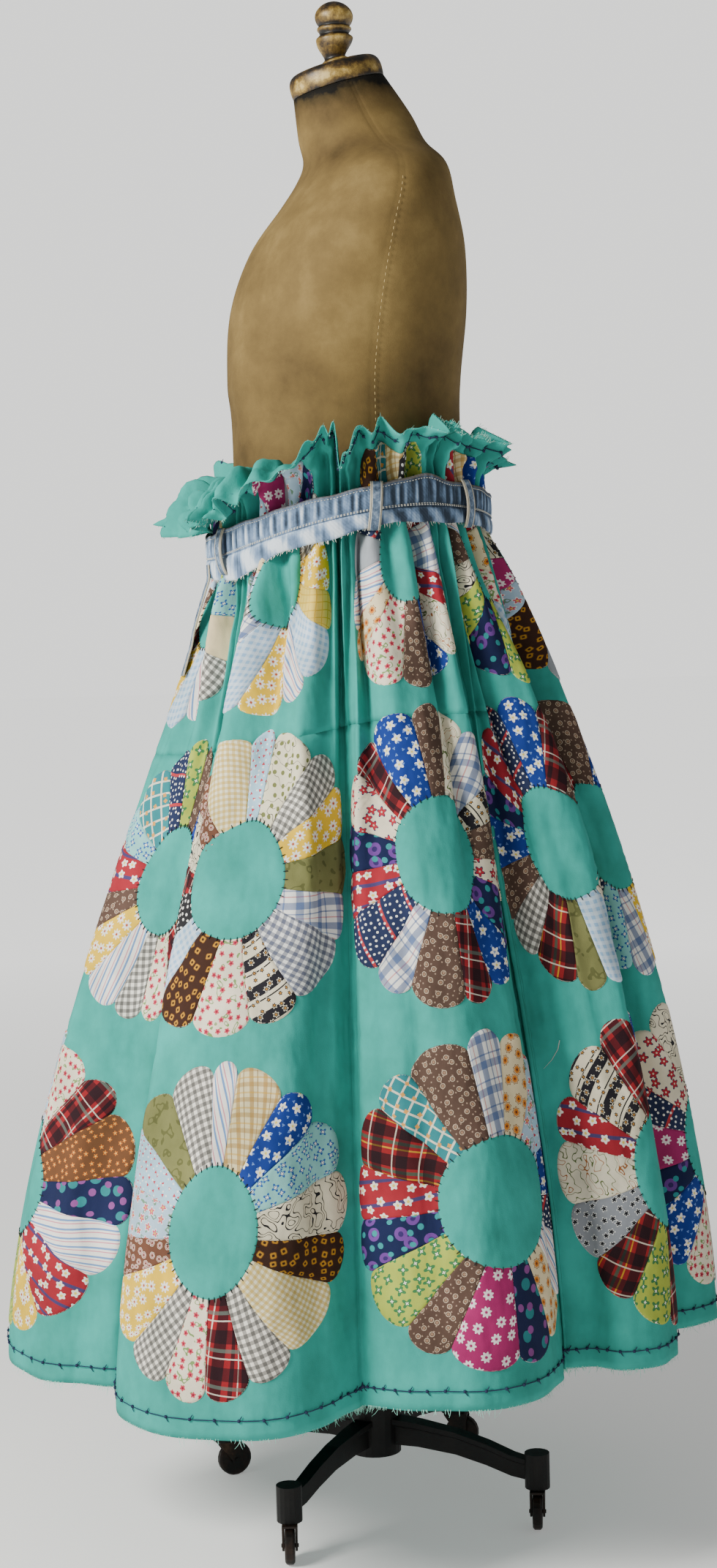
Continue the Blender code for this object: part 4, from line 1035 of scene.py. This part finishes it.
def cotton_surface(tree, shader, colour, millimetres):
    """Worn cotton: a slow fade in clouds of 70 mm over the colour, soft creases about 33 mm wide that
    run down the cloth, and slubs of 1.4 mm. Single threads would be too fine to show."""
    place = add(tree, "TexCoord").outputs["Object"]
    fade = add(tree, "TexNoise", {"Vector": place, "Scale": 14.0, "Detail": 4.0, "Roughness": 0.6})
    tone = add(tree, "ValToRGB", {"Fac": fade}, ((0.30, "#C4C8C4"), (0.70, "#FFFFFF")), smooth=True)
    stretched = add(tree, "VectorMath", {0: place, 1: (1.0, 1.0, 0.45)}, operation="MULTIPLY")
    creases = add(tree, "TexNoise", {"Vector": stretched, "Scale": 30.0, "Detail": 2.0, "Roughness": 0.4})
    slub = add(tree, "TexNoise", {"Vector": millimetres, "Scale": 0.7, "Detail": 2.0})
    soft = add(tree, "Bump", {"Height": creases, "Strength": 0.8, "Distance": 0.010})
    fine = add(tree, "Bump", {"Height": slub, "Strength": 0.35, "Distance": 0.0005, "Normal": soft})
    faded = add(tree, "Mix", {0: 0.8, 6: colour, 7: tone.outputs["Color"]}, **SHADE).outputs[2]
    feed(tree, shader, {"Base Color": faded, "Normal": fine})


def flat_millimetres(tree):
    """The flat map of a piece in millimetres."""
    flat = add(tree, "UVMap", uv_map="flat_map")
    return add(tree, "VectorMath", {0: flat, 1: (1000, 1000, 1000)}, operation="MULTIPLY").outputs[0]


def stripes(tree, distance, period, stops):
    """Bands of colour across one direction: the fraction of distance over period, through a ramp."""
    turns = add(tree, "Math", {0: distance, 1: 1 / period}, operation="MULTIPLY")
    return add(tree, "ValToRGB", {"Fac": add(tree, "Math", {0: turns}, operation="FRACT")}, stops)


def motifs(tree, millimetres, size, stops, lobes, depth):
    """Little figures, one a cell: distance / (1 + depth cos(lobes x angle)) through a ramp, with a
    turn of its own in every cell."""
    cells = add(tree, "TexVoronoi", {"Vector": millimetres, "Scale": 1 / size, "Randomness": 0.55},
                voronoi_dimensions="2D")
    off = add(tree, "VectorMath", {0: millimetres, 1: cells.outputs["Position"]}, operation="SUBTRACT")
    split = add(tree, "SeparateXYZ", {0: off})
    angle = add(tree, "Math", {0: split.outputs[1], 1: split.outputs[0]}, operation="ARCTAN2")
    own = add(tree, "SeparateColor", {0: cells.outputs["Color"]})
    turned = add(tree, "Math", {0: own, 1: TURN, 2: angle}, operation="MULTIPLY_ADD")
    phase = add(tree, "Math", {0: turned, 1: lobes}, operation="MULTIPLY")
    wave = add(tree, "Math", {0: phase}, operation="COSINE")
    swell = add(tree, "Math", {0: wave, 1: depth, 2: 1.0}, operation="MULTIPLY_ADD")
    reach = add(tree, "Math", {0: cells.outputs["Distance"], 1: swell}, operation="DIVIDE")
    return add(tree, "ValToRGB", {"Fac": reach}, stops)


def scrawl(tree, millimetres, size, stops):
    """Drawn lines: contours of a soft noise through a ramp."""
    noise = add(tree, "TexNoise", {"Vector": millimetres, "Scale": 1 / size, "Detail": 1.0})
    return add(tree, "ValToRGB", {"Fac": noise}, stops)


def paint(tree, millimetres, ground, layers):
    """The ground colour with each layer laid over it in turn, a check as its warp and then its weft."""
    colour = linear(ground)
    split = add(tree, "SeparateXYZ", {0: millimetres})
    threads = []
    for kind, *rest in layers:
        threads += [("warp", *rest), ("weft", *rest)] if kind == "check" else [(kind, *rest)]
    for number, (kind, size, stops, *rest) in enumerate(threads):
        moved = add(tree, "VectorMath", {0: millimetres, 1: (37.0 * number, 23.0 * number, 0)}).outputs[0]
        if kind == "motif":
            ramp = motifs(tree, moved, size, stops, *rest)
        elif kind == "scrawl":
            ramp = scrawl(tree, moved, size, stops)
        else:
            ramp = stripes(tree, split.outputs[0 if kind == "warp" else 1], size, stops)
        strength = rest[0] if kind in ("warp", "weft") and rest else 1.0
        amount = add(tree, "Math", {0: ramp.outputs["Alpha"], 1: strength}, operation="MULTIPLY")
        colour = add(tree, "Mix", {0: amount, 6: colour, 7: ramp.outputs["Color"]}, **COVER).outputs[2]
    return colour


# %% [markdown]
# The prints are the plain kinds of old sewing baskets: gingham, tartan, ticking, dots, rosebuds and
# leaf scrawls. Colours and scale follow the quilt, and the figures and their layout are generic. The
# finest checks are drawn a little coarser than life, so that they don't shimmer from afar.

# %% Print table
# key: name, ground, then layers of kind, millimetres, stops, and strength or lobes and their depth
PRINTS = {
    "gb": ("black_gingham", "#ECE7DC", [("check", 8.5, ((0, "#2A292B"), (0.5, None)), 0.62)]),
    "gn": ("navy_gingham", "#E4E4E2", [("check", 9, ((0, "#27355C"), (0.5, None)), 0.62)]),
    "yc": ("yellow_check", "#EFE9CB", [("check", 6.5, ((0, "#C7A22E"), (0.5, None)), 0.55)]),
    "tc": ("tan_check", "#E2D3A6", [
        ("warp", 16, ((0, "#A8813F"), (0.3, None), (0.55, "#6C4A2B"), (0.62, None)), 0.7),
        ("weft", 16, ((0, "#A8813F"), (0.3, None), (0.55, "#C79A34"), (0.66, None)), 0.6)]),
    "st": ("ticking_stripe", "#EFEBE4", [
        ("warp", 11, ((0, None), (0.3, "#6E93C4"), (0.52, None), (0.72, "#D88C9C"), (0.84, None)))]),
    "tr": ("red_tartan", "#94242A", [
        ("warp", 38, ((0, "#17161C"), (0.36, None), (0.48, "#E8DFCF"), (0.52, None),
            (0.66, "#17161C"), (0.8, None)), 0.8),
        ("weft", 38, ((0, "#17161C"), (0.36, None), (0.5, "#5F6E66"), (0.6, None), (0.74, "#E8DFCF"),
            (0.78, None)), 0.7)]),
    "rt": ("gold_tartan", "#8E2226", [
        ("warp", 31, ((0, "#141419"), (0.42, None), (0.6, "#C79A2C"), (0.66, None), (0.78, "#2C5A4A"),
            (0.9, None)), 0.8),
        ("weft", 31, ((0, "#141419"), (0.42, None), (0.55, "#D9D0BD"), (0.6, None)), 0.75)]),
    "bw": ("blue_plaid", "#E9E8E4", [
        ("warp", 28, ((0, "#38598F"), (0.3, None), (0.5, "#38598F"), (0.56, None), (0.75, "#C65B5B"),
            (0.8, None)), 0.7),
        ("weft", 28, ((0, "#38598F"), (0.3, None), (0.5, "#38598F"), (0.56, None)), 0.65)]),
    "rb": ("royal_floral", "#1F3A8A", [
        ("motif", 19, ((0, "#F0D65B"), (0.07, "#F2F0EA"), (0.24, None)), 5, 0.3),
        ("motif", 10, ((0, "#6C8FD2"), (0.13, None)), 3, 0.4)]),
    "aq": ("aqua_sprig", "#8CCBC9", [
        ("motif", 12, ((0, "#F2EEDF"), (0.12, "#2F5FA6"), (0.27, None)), 4, 0.45)]),
    "cl": ("line_drawing", "#E6DCC2", [
        ("scrawl", 20, ((0, None), (0.44, "#26252A"), (0.462, None), (0.53, "#26252A"), (0.552, None),
            (0.62, "#26252A"), (0.64, None)))]),
    "bg": ("gold_squares", "#3A241B", [
        ("motif", 13, ((0, "#3A241B"), (0.12, "#B9842A"), (0.26, "#6B4420"), (0.32, None)), 4, 0.1)]),
    "cr": ("rosebuds", "#EADFC8", [
        ("scrawl", 10, ((0, None), (0.6, "#7E9A5F"), (0.66, None))),
        ("motif", 12, ((0, "#8E2338"), (0.1, "#CC4A5C"), (0.24, None)), 5, 0.2)]),
    "yd": ("daisies", "#E6BC35", [
        ("motif", 16, ((0, "#B4502A"), (0.1, "#F4EFE2"), (0.32, None)), 8, 0.28)]),
    "br": ("brown_rings", "#6B4636", [
        ("motif", 11, ((0, "#6B4636"), (0.14, "#D9A3A0"), (0.24, "#6B4636"), (0.3, "#E8D8C4"),
            (0.35, None)), 6, 0.05)]),
    "lf": ("blue_floral", "#A9C2D6", [
        ("scrawl", 12, ((0, None), (0.59, "#6C8F74"), (0.66, None))),
        ("motif", 16, ((0, "#E2C15A"), (0.08, "#C9566A"), (0.22, "#F3EFEA"), (0.28, None)), 5, 0.3)]),
    "lb": ("blue_red_buds", "#A7CBE0", [
        ("motif", 10, ((0, "#BF3745"), (0.16, None)), 3, 0.3),
        ("motif", 9, ((0, "#F5F2EC"), (0.13, None)), 5, 0.2)]),
    "ol": ("olive", "#77784A", [("scrawl", 14, ((0, None), (0.57, "#5E6038"), (0.66, None)))]),
    "om": ("tan_medallions", "#E4D3AC", [
        ("motif", 17, ((0, "#7C3A22"), (0.09, "#D98534"), (0.24, "#E4D3AC"), (0.28, "#8A5A2C"),
            (0.33, None)), 8, 0.12)]),
    "nd": ("navy_dots", "#27304F", [
        ("weft", 34, ((0, None), (0.8, "#B33A3F"), (0.9, None))),
        ("motif", 7, ((0, "#EDEBE4"), (0.2, None)), 3, 0.0)]),
    "nt": ("navy_mauve_dots", "#1E2548", [
        ("motif", 27, ((0, "#2C7F84"), (0.24, None)), 3, 0.0),
        ("motif", 22, ((0, "#8A4A8C"), (0.2, None)), 3, 0.0)]),
    "mp": ("magenta_medallions", "#A42A66", [
        ("motif", 20, ((0, "#A42A66"), (0.08, "#F0E4E6"), (0.26, None)), 8, 0.2)]),
    "bc": ("brown_circles", "#58443B", [
        ("motif", 12, ((0, "#9A7A63"), (0.12, "#58443B"), (0.18, "#C9B49C"), (0.24, None)), 6, 0.0),
        ("motif", 7, ((0, "#A88F7C"), (0.12, None)), 4, 0.3)]),
    "li": ("lime_block_print", "#A9B64A", [
        ("motif", 16, ((0, "#F0ECD2"), (0.09, "#3E7A4A"), (0.29, None)), 4, 0.42)]),
    "np": ("navy_purple_dots", "#1B2347", [
        ("motif", 25, ((0, "#3A2A63"), (0.12, "#6B3F8F"), (0.3, None)), 3, 0.0),
        ("motif", 17, ((0, "#2E8F92"), (0.2, None)), 3, 0.0)]),
    "rf": ("red_floral", "#9E2934", [
        ("warp", 26, ((0, "#26406F"), (0.16, None)), 0.85),
        ("motif", 18, ((0, "#EBCB5A"), (0.09, "#F3ECE2"), (0.25, None)), 5, 0.22)]),
    "tg": ("teal_lattice", "#2F7F86", [
        ("check", 15, ((0, "#E7E0C9"), (0.16, None)), 0.85),
        ("motif", 15, ((0, "#D99A4E"), (0.16, None)), 4, 0.2)]),
    "ob": ("black_border_print", "#E3D9BF", [
        ("weft", 30, ((0, "#26242A"), (0.42, None), (0.55, "#26242A"), (0.6, None))),
        ("motif", 11, ((0, "#B5803C"), (0.1, "#26242A"), (0.2, "#E9DFC6"), (0.27, None)), 6, 0.25)]),
    "cv": ("leaf_lines", "#E8DFC7", [
        ("scrawl", 15, ((0, None), (0.45, "#5C6B3A"), (0.475, None), (0.56, "#A5663A"), (0.585, None)))]),
    "cf": ("cream_red_floral", "#E6DAC2", [
        ("motif", 17, ((0, "#E6DAC2"), (0.06, "#B52F3B"), (0.24, "#26335C"), (0.3, None)), 5, 0.3)]),
    "lp": ("grey_spots", "#8D9198", [
        ("motif", 12, ((0, "#1F1F24"), (0.2, "#EDEDEA"), (0.26, None)), 5, 0.35)]),
    "pb": ("pale_blue_check", "#8FB4D6", [("check", 9, ((0, "#DCE6EE"), (0.5, None)), 0.5)]),
    "gd": ("black_white_dots", "#2A292C", [("motif", 8, ((0, "#F0EEE8"), (0.24, None)), 3, 0.0)]),
    "cd": ("cream_dots", "#E5DCBF", [
        ("scrawl", 20, ((0, None), (0.5, "#26252A"), (0.515, None))),
        ("motif", 12, ((0, "#75794A"), (0.22, None)), 3, 0.0)]),
    "bo": ("orange_sprig", "#6A452C", [
        ("motif", 10, ((0, "#E3C46A"), (0.08, "#D4782E"), (0.22, None)), 5, 0.35)]),
    "be": ("plain_beige", "#D5C29A", []),
    "gs": ("grey_satin", "#9FA3AA", []),
    "yl": ("yellow_lattice", "#DDBF5C", [("check", 10, ((0, "#C9A437"), (0.14, None)))]),
}
print("prints:", len(PRINTS))


# %% Cotton materials
def petal_finish(name, ground, layers):
    """A printed cotton with the pale line of its own stitching and painted shade along its turned edge."""
    # gives the eye a worn, slightly faded scrap of dress cotton
    material, tree, shader = new_finish(f"cotton_{name}", 0.88)
    millimetres = flat_millimetres(tree)
    edge = add(tree, "Attribute", attribute_name="edge").outputs["Fac"]
    depth = add(tree, "Math", {0: edge, 1: 0.25}, operation="MULTIPLY")
    # painted shade: the print is darkened within about 0.6 mm of the turned edge, where its shadow would fall
    shade = add(tree, "ValToRGB", {"Fac": depth}, ((0.0, "#8A8A8A"), (0.16, "#FFFFFF")), smooth=True)
    sewn = add(tree, "ValToRGB", {"Fac": depth}, ((0, None), (0.30, "#EDE8DA"), (0.42, None)))
    split = add(tree, "SeparateXYZ", {0: millimetres})
    dash = stripes(tree, split.outputs[1], 3.0, ((0, "#FFFFFF"), (0.6, None)))
    thread = add(tree, "Math", {0: sewn.outputs["Alpha"], 1: dash.outputs["Alpha"]}, operation="MULTIPLY")
    soft = add(tree, "Math", {0: thread, 1: 0.7}, operation="MULTIPLY")
    dyed = paint(tree, millimetres, ground, layers)
    shaded = add(tree, "Mix", {0: 0.8, 6: dyed, 7: shade.outputs["Color"]}, **SHADE).outputs[2]
    colour = add(tree, "Mix", {0: soft, 6: shaded, 7: sewn.outputs["Color"]}, **COVER).outputs[2]
    cotton_surface(tree, shader, colour, millimetres)
    return material


for key, piece in petal_pieces.items():
    give(petal_finish(*PRINTS[key]), [piece])

# gives the eye plain sea-green cotton, a little uneven where it has faded
turquoise, tree, shader = new_finish("cotton_turquoise", 0.9)
millimetres = flat_millimetres(tree)
split = add(tree, "SeparateXYZ", {0: millimetres})
upright_seam = stripes(tree, split.outputs[0], 1000 * BLOCK, ((0, "#2E8474"), (0.0022, None)))
rows_down = add(tree, "Math", {0: split.outputs[1], 1: -0.001 / CUT_DROP}, operation="MULTIPLY")
seam_stops = [stop for seam in ROW_SEAMS for stop in ((seam, "#2E8474"), (seam + 0.0008, None))]
level_seam = add(tree, "ValToRGB", {"Fac": rows_down}, [(0, None), *seam_stops])
both_ways = {0: upright_seam.outputs["Alpha"], 1: level_seam.outputs["Alpha"]}
seams = add(tree, "Math", both_ways, operation="MAXIMUM")
colour = add(tree, "Mix", {0: seams, 6: linear("#38A297"), 7: linear("#2C887C")}, **COVER).outputs[2]
cotton_surface(tree, shader, colour, millimetres)
give(turquoise, (quilt_upper, quilt_lower, plate_centres))

# what each thread gives the eye: dark blue embroidery thread, black sewing thread, undyed cotton
# ends, torn turquoise cotton, and waxed linen gone brown
THREADS = (
    ("thread_navy", 0.8, "#27304A", edge_stitches),
    ("thread_dark", 0.8, "#262A2C", [centre_stitches]),
    ("thread_undyed", 0.85, "#C9C8BE", [loose_ends, denim_fray, *band_stitches]),
    ("thread_turquoise", 0.85, "#8CC4B4", [hem_fray, top_fray]),
    ("thread_linen", 0.7, "#A08C5E", side_stitches),
)
for name, roughness, colour, pieces in THREADS:
    material, tree, shader = new_finish(name, roughness)
    feed(tree, shader, {"Base Color": linear(colour)})
    give(material, pieces)
print("cottons:", len(petal_pieces) + 1, "threads:", len(THREADS))

# %% [markdown]
# ## Denim, canvas, wood and iron
# Denim is a blue warp over a white weft, so worn places go pale and dirty edges go brown. Canvas is
# an olive linen gone shiny and blotched. The wood is old varnish with chips down to pale gesso. The
# iron is black and dusty. Each is a noise through a ramp of a few colours, moved by a value on the
# piece that says where it is rubbed or grimed, since wear follows the form and not chance alone. On
# the waistband that value also carries painted shade, which darkens its right side, and the belt
# loops have a line of painted shade between their pale edges and their stitching.

# %% Denim
# gives the eye washed jeans, pale on the rubbed puckers and brown along the top, and darker on the right as
# painted shade.
# Clouds are 17 mm, and marks 4.5 mm wide and 38 mm long. The twill's ribs are drawn nearly 3 mm
# apart, coarser than life, so that they show.
denim, tree, shader = new_finish("denim_washed", 0.9)
millimetres = flat_millimetres(tree)
cloud = add(tree, "TexNoise", {"Vector": millimetres, "Scale": 0.06, "Detail": 5.0, "Roughness": 0.65})
upright = add(tree, "VectorMath", {0: millimetres, 1: (1.0, 0.12, 1.0)}, operation="MULTIPLY")
marks = add(tree, "TexNoise", {"Vector": upright, "Scale": 0.22, "Detail": 3.0})
# this value is pale where the denim is rubbed, and low where painted shade darkens the right side
rubbed, soiled = (add(tree, "Attribute", attribute_name=name).outputs["Fac"] for name in ("rubbed", "soiled"))
marked = add(tree, "Math", {0: marks, 1: 0.9, 2: rubbed}, operation="MULTIPLY_ADD")
clouded = add(tree, "Math", {0: cloud, 1: 0.7, 2: marked}, operation="MULTIPLY_ADD")
worn = add(tree, "Math", {0: clouded, 1: -0.75}, operation="ADD")
blues = (0.10, "#2E3845"), (0.32, "#4A5B70"), (0.52, "#6A809C"), (0.72, "#92A5BB"), (0.95, "#C3CDD6")
tone = add(tree, "ValToRGB", {"Fac": worn}, blues, smooth=True)
dirt = add(tree, "Math", {0: soiled, 1: 0.65}, operation="MULTIPLY")
twill = add(tree, "TexWave", {"Vector": millimetres, "Scale": 0.16, "Distortion": 0.4},
            bands_direction="DIAGONAL")
ribs = add(tree, "Bump", {"Height": twill.outputs["Fac"], "Strength": 0.5, "Distance": 0.0004})
colour = add(tree, "Mix", {0: dirt, 6: tone.outputs["Color"], 7: linear("#6F6353")}, **COVER).outputs[2]
feed(tree, shader, {"Base Color": colour, "Normal": ribs})
give(denim, [waistband])

# gives the eye the same denim, in clouds of 11 mm, with cream stitching and a pale edge on both
# sides of a narrow strip and a dark line of painted shade between them, drawn by its distance
# from the cut edge
strip_denim, tree, shader = new_finish("denim_strip", 0.9)
millimetres = flat_millimetres(tree)
cloud = add(tree, "TexNoise", {"Vector": millimetres, "Scale": 0.09, "Detail": 5.0, "Roughness": 0.65})
blues = (0.35, "#36424F"), (0.50, "#5C6D82"), (0.66, "#93A4B6")
tone = add(tree, "ValToRGB", {"Fac": cloud}, blues, smooth=True)
edge = add(tree, "Attribute", attribute_name="edge").outputs["Fac"]
near = add(tree, "Math", {0: edge, 1: 0.1}, operation="MULTIPLY")
# painted shade: a dark line lies between the pale edge and the cream stitching, 1.2 to 1.9 mm in
stitch_and_shade_stops = (0.0, "#A39C8A"), (0.12, "#4A4F52"), (0.19, "#CFC8B4"), (0.27, None)
stitch_and_shade = add(tree, "ValToRGB", {"Fac": near}, stitch_and_shade_stops)
mixed = {0: stitch_and_shade.outputs["Alpha"], 6: tone.outputs["Color"], 7: stitch_and_shade.outputs["Color"]}
feed(tree, shader, {"Base Color": add(tree, "Mix", mixed, **COVER).outputs[2]})
give(strip_denim, strips)
print("denim materials: 2")


# %% Canvas, wood and iron
def cloudy_finish(name, roughness, glint, cloud, stops, wear=0.0, grain=None):
    """A noise of scale, detail and roughness in space, moved by what is worn, through a ramp of
    colours, and a finer noise of scale, strength and depth as relief."""
    material, tree, shader = new_finish(name, roughness, glint)
    place = add(tree, "TexCoord").outputs["Object"]
    scale, detail, rough = cloud
    level = add(tree, "TexNoise", {"Vector": place, "Scale": scale, "Detail": detail, "Roughness": rough})
    if wear:
        worn = add(tree, "Attribute", attribute_name="wear").outputs["Fac"]
        level = add(tree, "Math", {0: worn, 1: wear, 2: level}, operation="MULTIPLY_ADD")
    feed(tree, shader, {"Base Color": add(tree, "ValToRGB", {"Fac": level}, stops, smooth=True)})
    if grain:
        grit = add(tree, "TexNoise", {"Vector": place, "Scale": grain[0], "Detail": 2.0})
        relief = add(tree, "Bump", {"Height": grit, "Strength": grain[1], "Distance": grain[2]})
        feed(tree, shader, {"Normal": relief})
    return material


# gives the eye old linen canvas, olive brown with darker handling marks and a black line at the
# neck: blotches of 110 mm over a weave of 1.1 mm
canvas_stops = ((0.17, "#0E0C08"), (0.24, "#3A2F19"), (0.38, "#524226"), (0.62, "#6B5833"), (0.85, "#857044"))
weave = (900.0, 0.35, 0.0005)
give(cloudy_finish("canvas_linen", 0.8, 0.15, (9.0, 6.0, 0.65), canvas_stops, 0.35, weave), [torso])
# gives the eye golden varnish on old turned wood, black in its grooves and chipped pale on its
# rims, with chips of 24 mm and finer
wood_stops = ((0.34, "#0F0B05"), (0.42, "#30220D"), (0.52, "#5F4A1F"), (0.62, "#8A7136"), (0.72, "#B59E66"))
give(cloudy_finish("wood_varnished", 0.45, 0.4, (42.0, 6.0, 0.75), wood_stops, 0.16), [finial, neck_cap])
# gives the eye black japanned cast iron with brown dust, in clouds of 38 mm and a sand grain of 2.4 mm
dusty = ((0.44, "#070708"), (0.66, "#13110F"), (0.84, "#3A3128"))
casting, grit = (26.0, 5.0, 0.7), (420.0, 0.3, 0.0006)
black_iron = cloudy_finish("iron_cast", 0.55, 0.25, casting, dusty, grain=grit)
# gives the eye forks and wheels with the black worn off to brown rust
rusty = ((0.38, "#0B0A09"), (0.56, "#2A1C14"), (0.76, "#5C4533"))
brown_iron = cloudy_finish("iron_rusted", 0.55, 0.25, casting, rusty, grain=grit)
metal_nodes = [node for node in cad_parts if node.startswith(("form_post", "form_base", "caster"))]
for node in metal_nodes:
    bpy.data.objects[node].data.materials.clear()
    give(brown_iron if node.startswith("caster") else black_iron, [bpy.data.objects[node]])
print("iron nodes:", metal_nodes)

# %% [markdown]
# ## Sheets, light and camera
# Each cloth piece carries a flat map of its cut. The light is one large soft window on the left and in
# front, so the right side falls into shade, as on the form in the photograph.

# %% Sheets
print("flat maps: on the cloth pieces")


# %% Light and floor
def placed(name, data):
    """A new object in the scene for a lamp, a camera or a mesh."""
    holder = bpy.data.objects.new(name, data)
    bpy.context.scene.collection.objects.link(holder)
    return holder


def area_light(name, place, aim, size, power, colour):
    """A square lamp that looks at a point."""
    lamp = bpy.data.lights.new(name, "AREA")
    lamp.size, lamp.energy, lamp.color = size, power, linear(colour)[:3]
    holder = placed(name, lamp)
    holder.location = place
    holder.rotation_euler = (Vector(aim) - Vector(place)).to_track_quat("-Z", "Y").to_euler()


# the camera sees a white room, and the room's own light on the cloth is weaker
world = bpy.data.worlds.new("pale_room")
world.use_nodes = True
room = world.node_tree
seen = room.nodes["Background"]
feed(room, seen, {"Color": linear("#F4F4F2"), "Strength": 1.5})
fill = add(room, "Background", {"Color": linear("#F4F4F2"), "Strength": 0.27})
both = add(room, "MixShader", {0: add(room, "LightPath").outputs["Is Camera Ray"], 1: fill, 2: seen})
feed(room, room.nodes["World Output"], {"Surface": both})
bpy.context.scene.world = world
area_light("window", (1.2, -2.8, 2.5), (0, 0, 1.05), 1.2, 225, "#FFFDF8")
area_light("room", (3.4, 0.6, 2.4), (0, 0, 0.9), 2.6, 5, "#F1F4FF")

FLOOR_REACH = 30.0
floor_mesh = bpy.data.meshes.new("floor")
corners = [(x * FLOOR_REACH, y * FLOOR_REACH, 0) for x, y in ((-1, -1), (1, -1), (1, 1), (-1, 1))]
floor_mesh.from_pydata(corners, [], [(0, 1, 2, 3)])
floor = placed("floor", floor_mesh)
# gives the eye a plain pale studio floor that glows, faintly near the form and more far off, to end as pale
# as the room
pale_floor, tree, shader = new_finish("studio_floor", 0.9)
place = add(tree, "TexCoord").outputs["Object"]
far = add(tree, "VectorMath", {0: place}, operation="LENGTH").outputs["Value"]
glow = add(tree, "MapRange", {"Value": far, 1: 0.8, 2: 5.0, 3: 0.3, 4: 1.25})
pale = linear("#F2F2F0")
feed(tree, shader, {"Base Color": pale, "Emission Color": pale, "Emission Strength": glow})
give(pale_floor, [floor])
print("lamps: 2, floor", 2 * FLOOR_REACH, "m")

# %% Camera
CAMERA_DISTANCE, CAMERA_HEIGHT, CAMERA_TURN = 3.03, 1.085, math.radians(76)
DIP, ROLL = math.radians(4), math.radians(-1.5)
FOCAL_PIXELS, PHOTO_HEIGHT, SENSOR = 3480, 2144, 36.0
camera = bpy.data.cameras.new("camera")
camera.sensor_fit, camera.sensor_height = "VERTICAL", SENSOR
camera.lens = FOCAL_PIXELS / PHOTO_HEIGHT * SENSOR
view = placed("camera", camera)
east, north = math.sin(CAMERA_TURN), math.cos(CAMERA_TURN)
view.location = (CAMERA_DISTANCE * east, AXIS_Y - CAMERA_DISTANCE * north, CAMERA_HEIGHT)
ahead = Vector((-east * math.cos(DIP), north * math.cos(DIP), -math.sin(DIP)))
aimed = ahead.to_track_quat("-Z", "Y").to_matrix() @ Matrix.Rotation(ROLL, 3, "Z")
view.rotation_euler = aimed.to_euler()
bpy.context.scene.camera = view
print("lens:", round(camera.lens, 1), "mm")
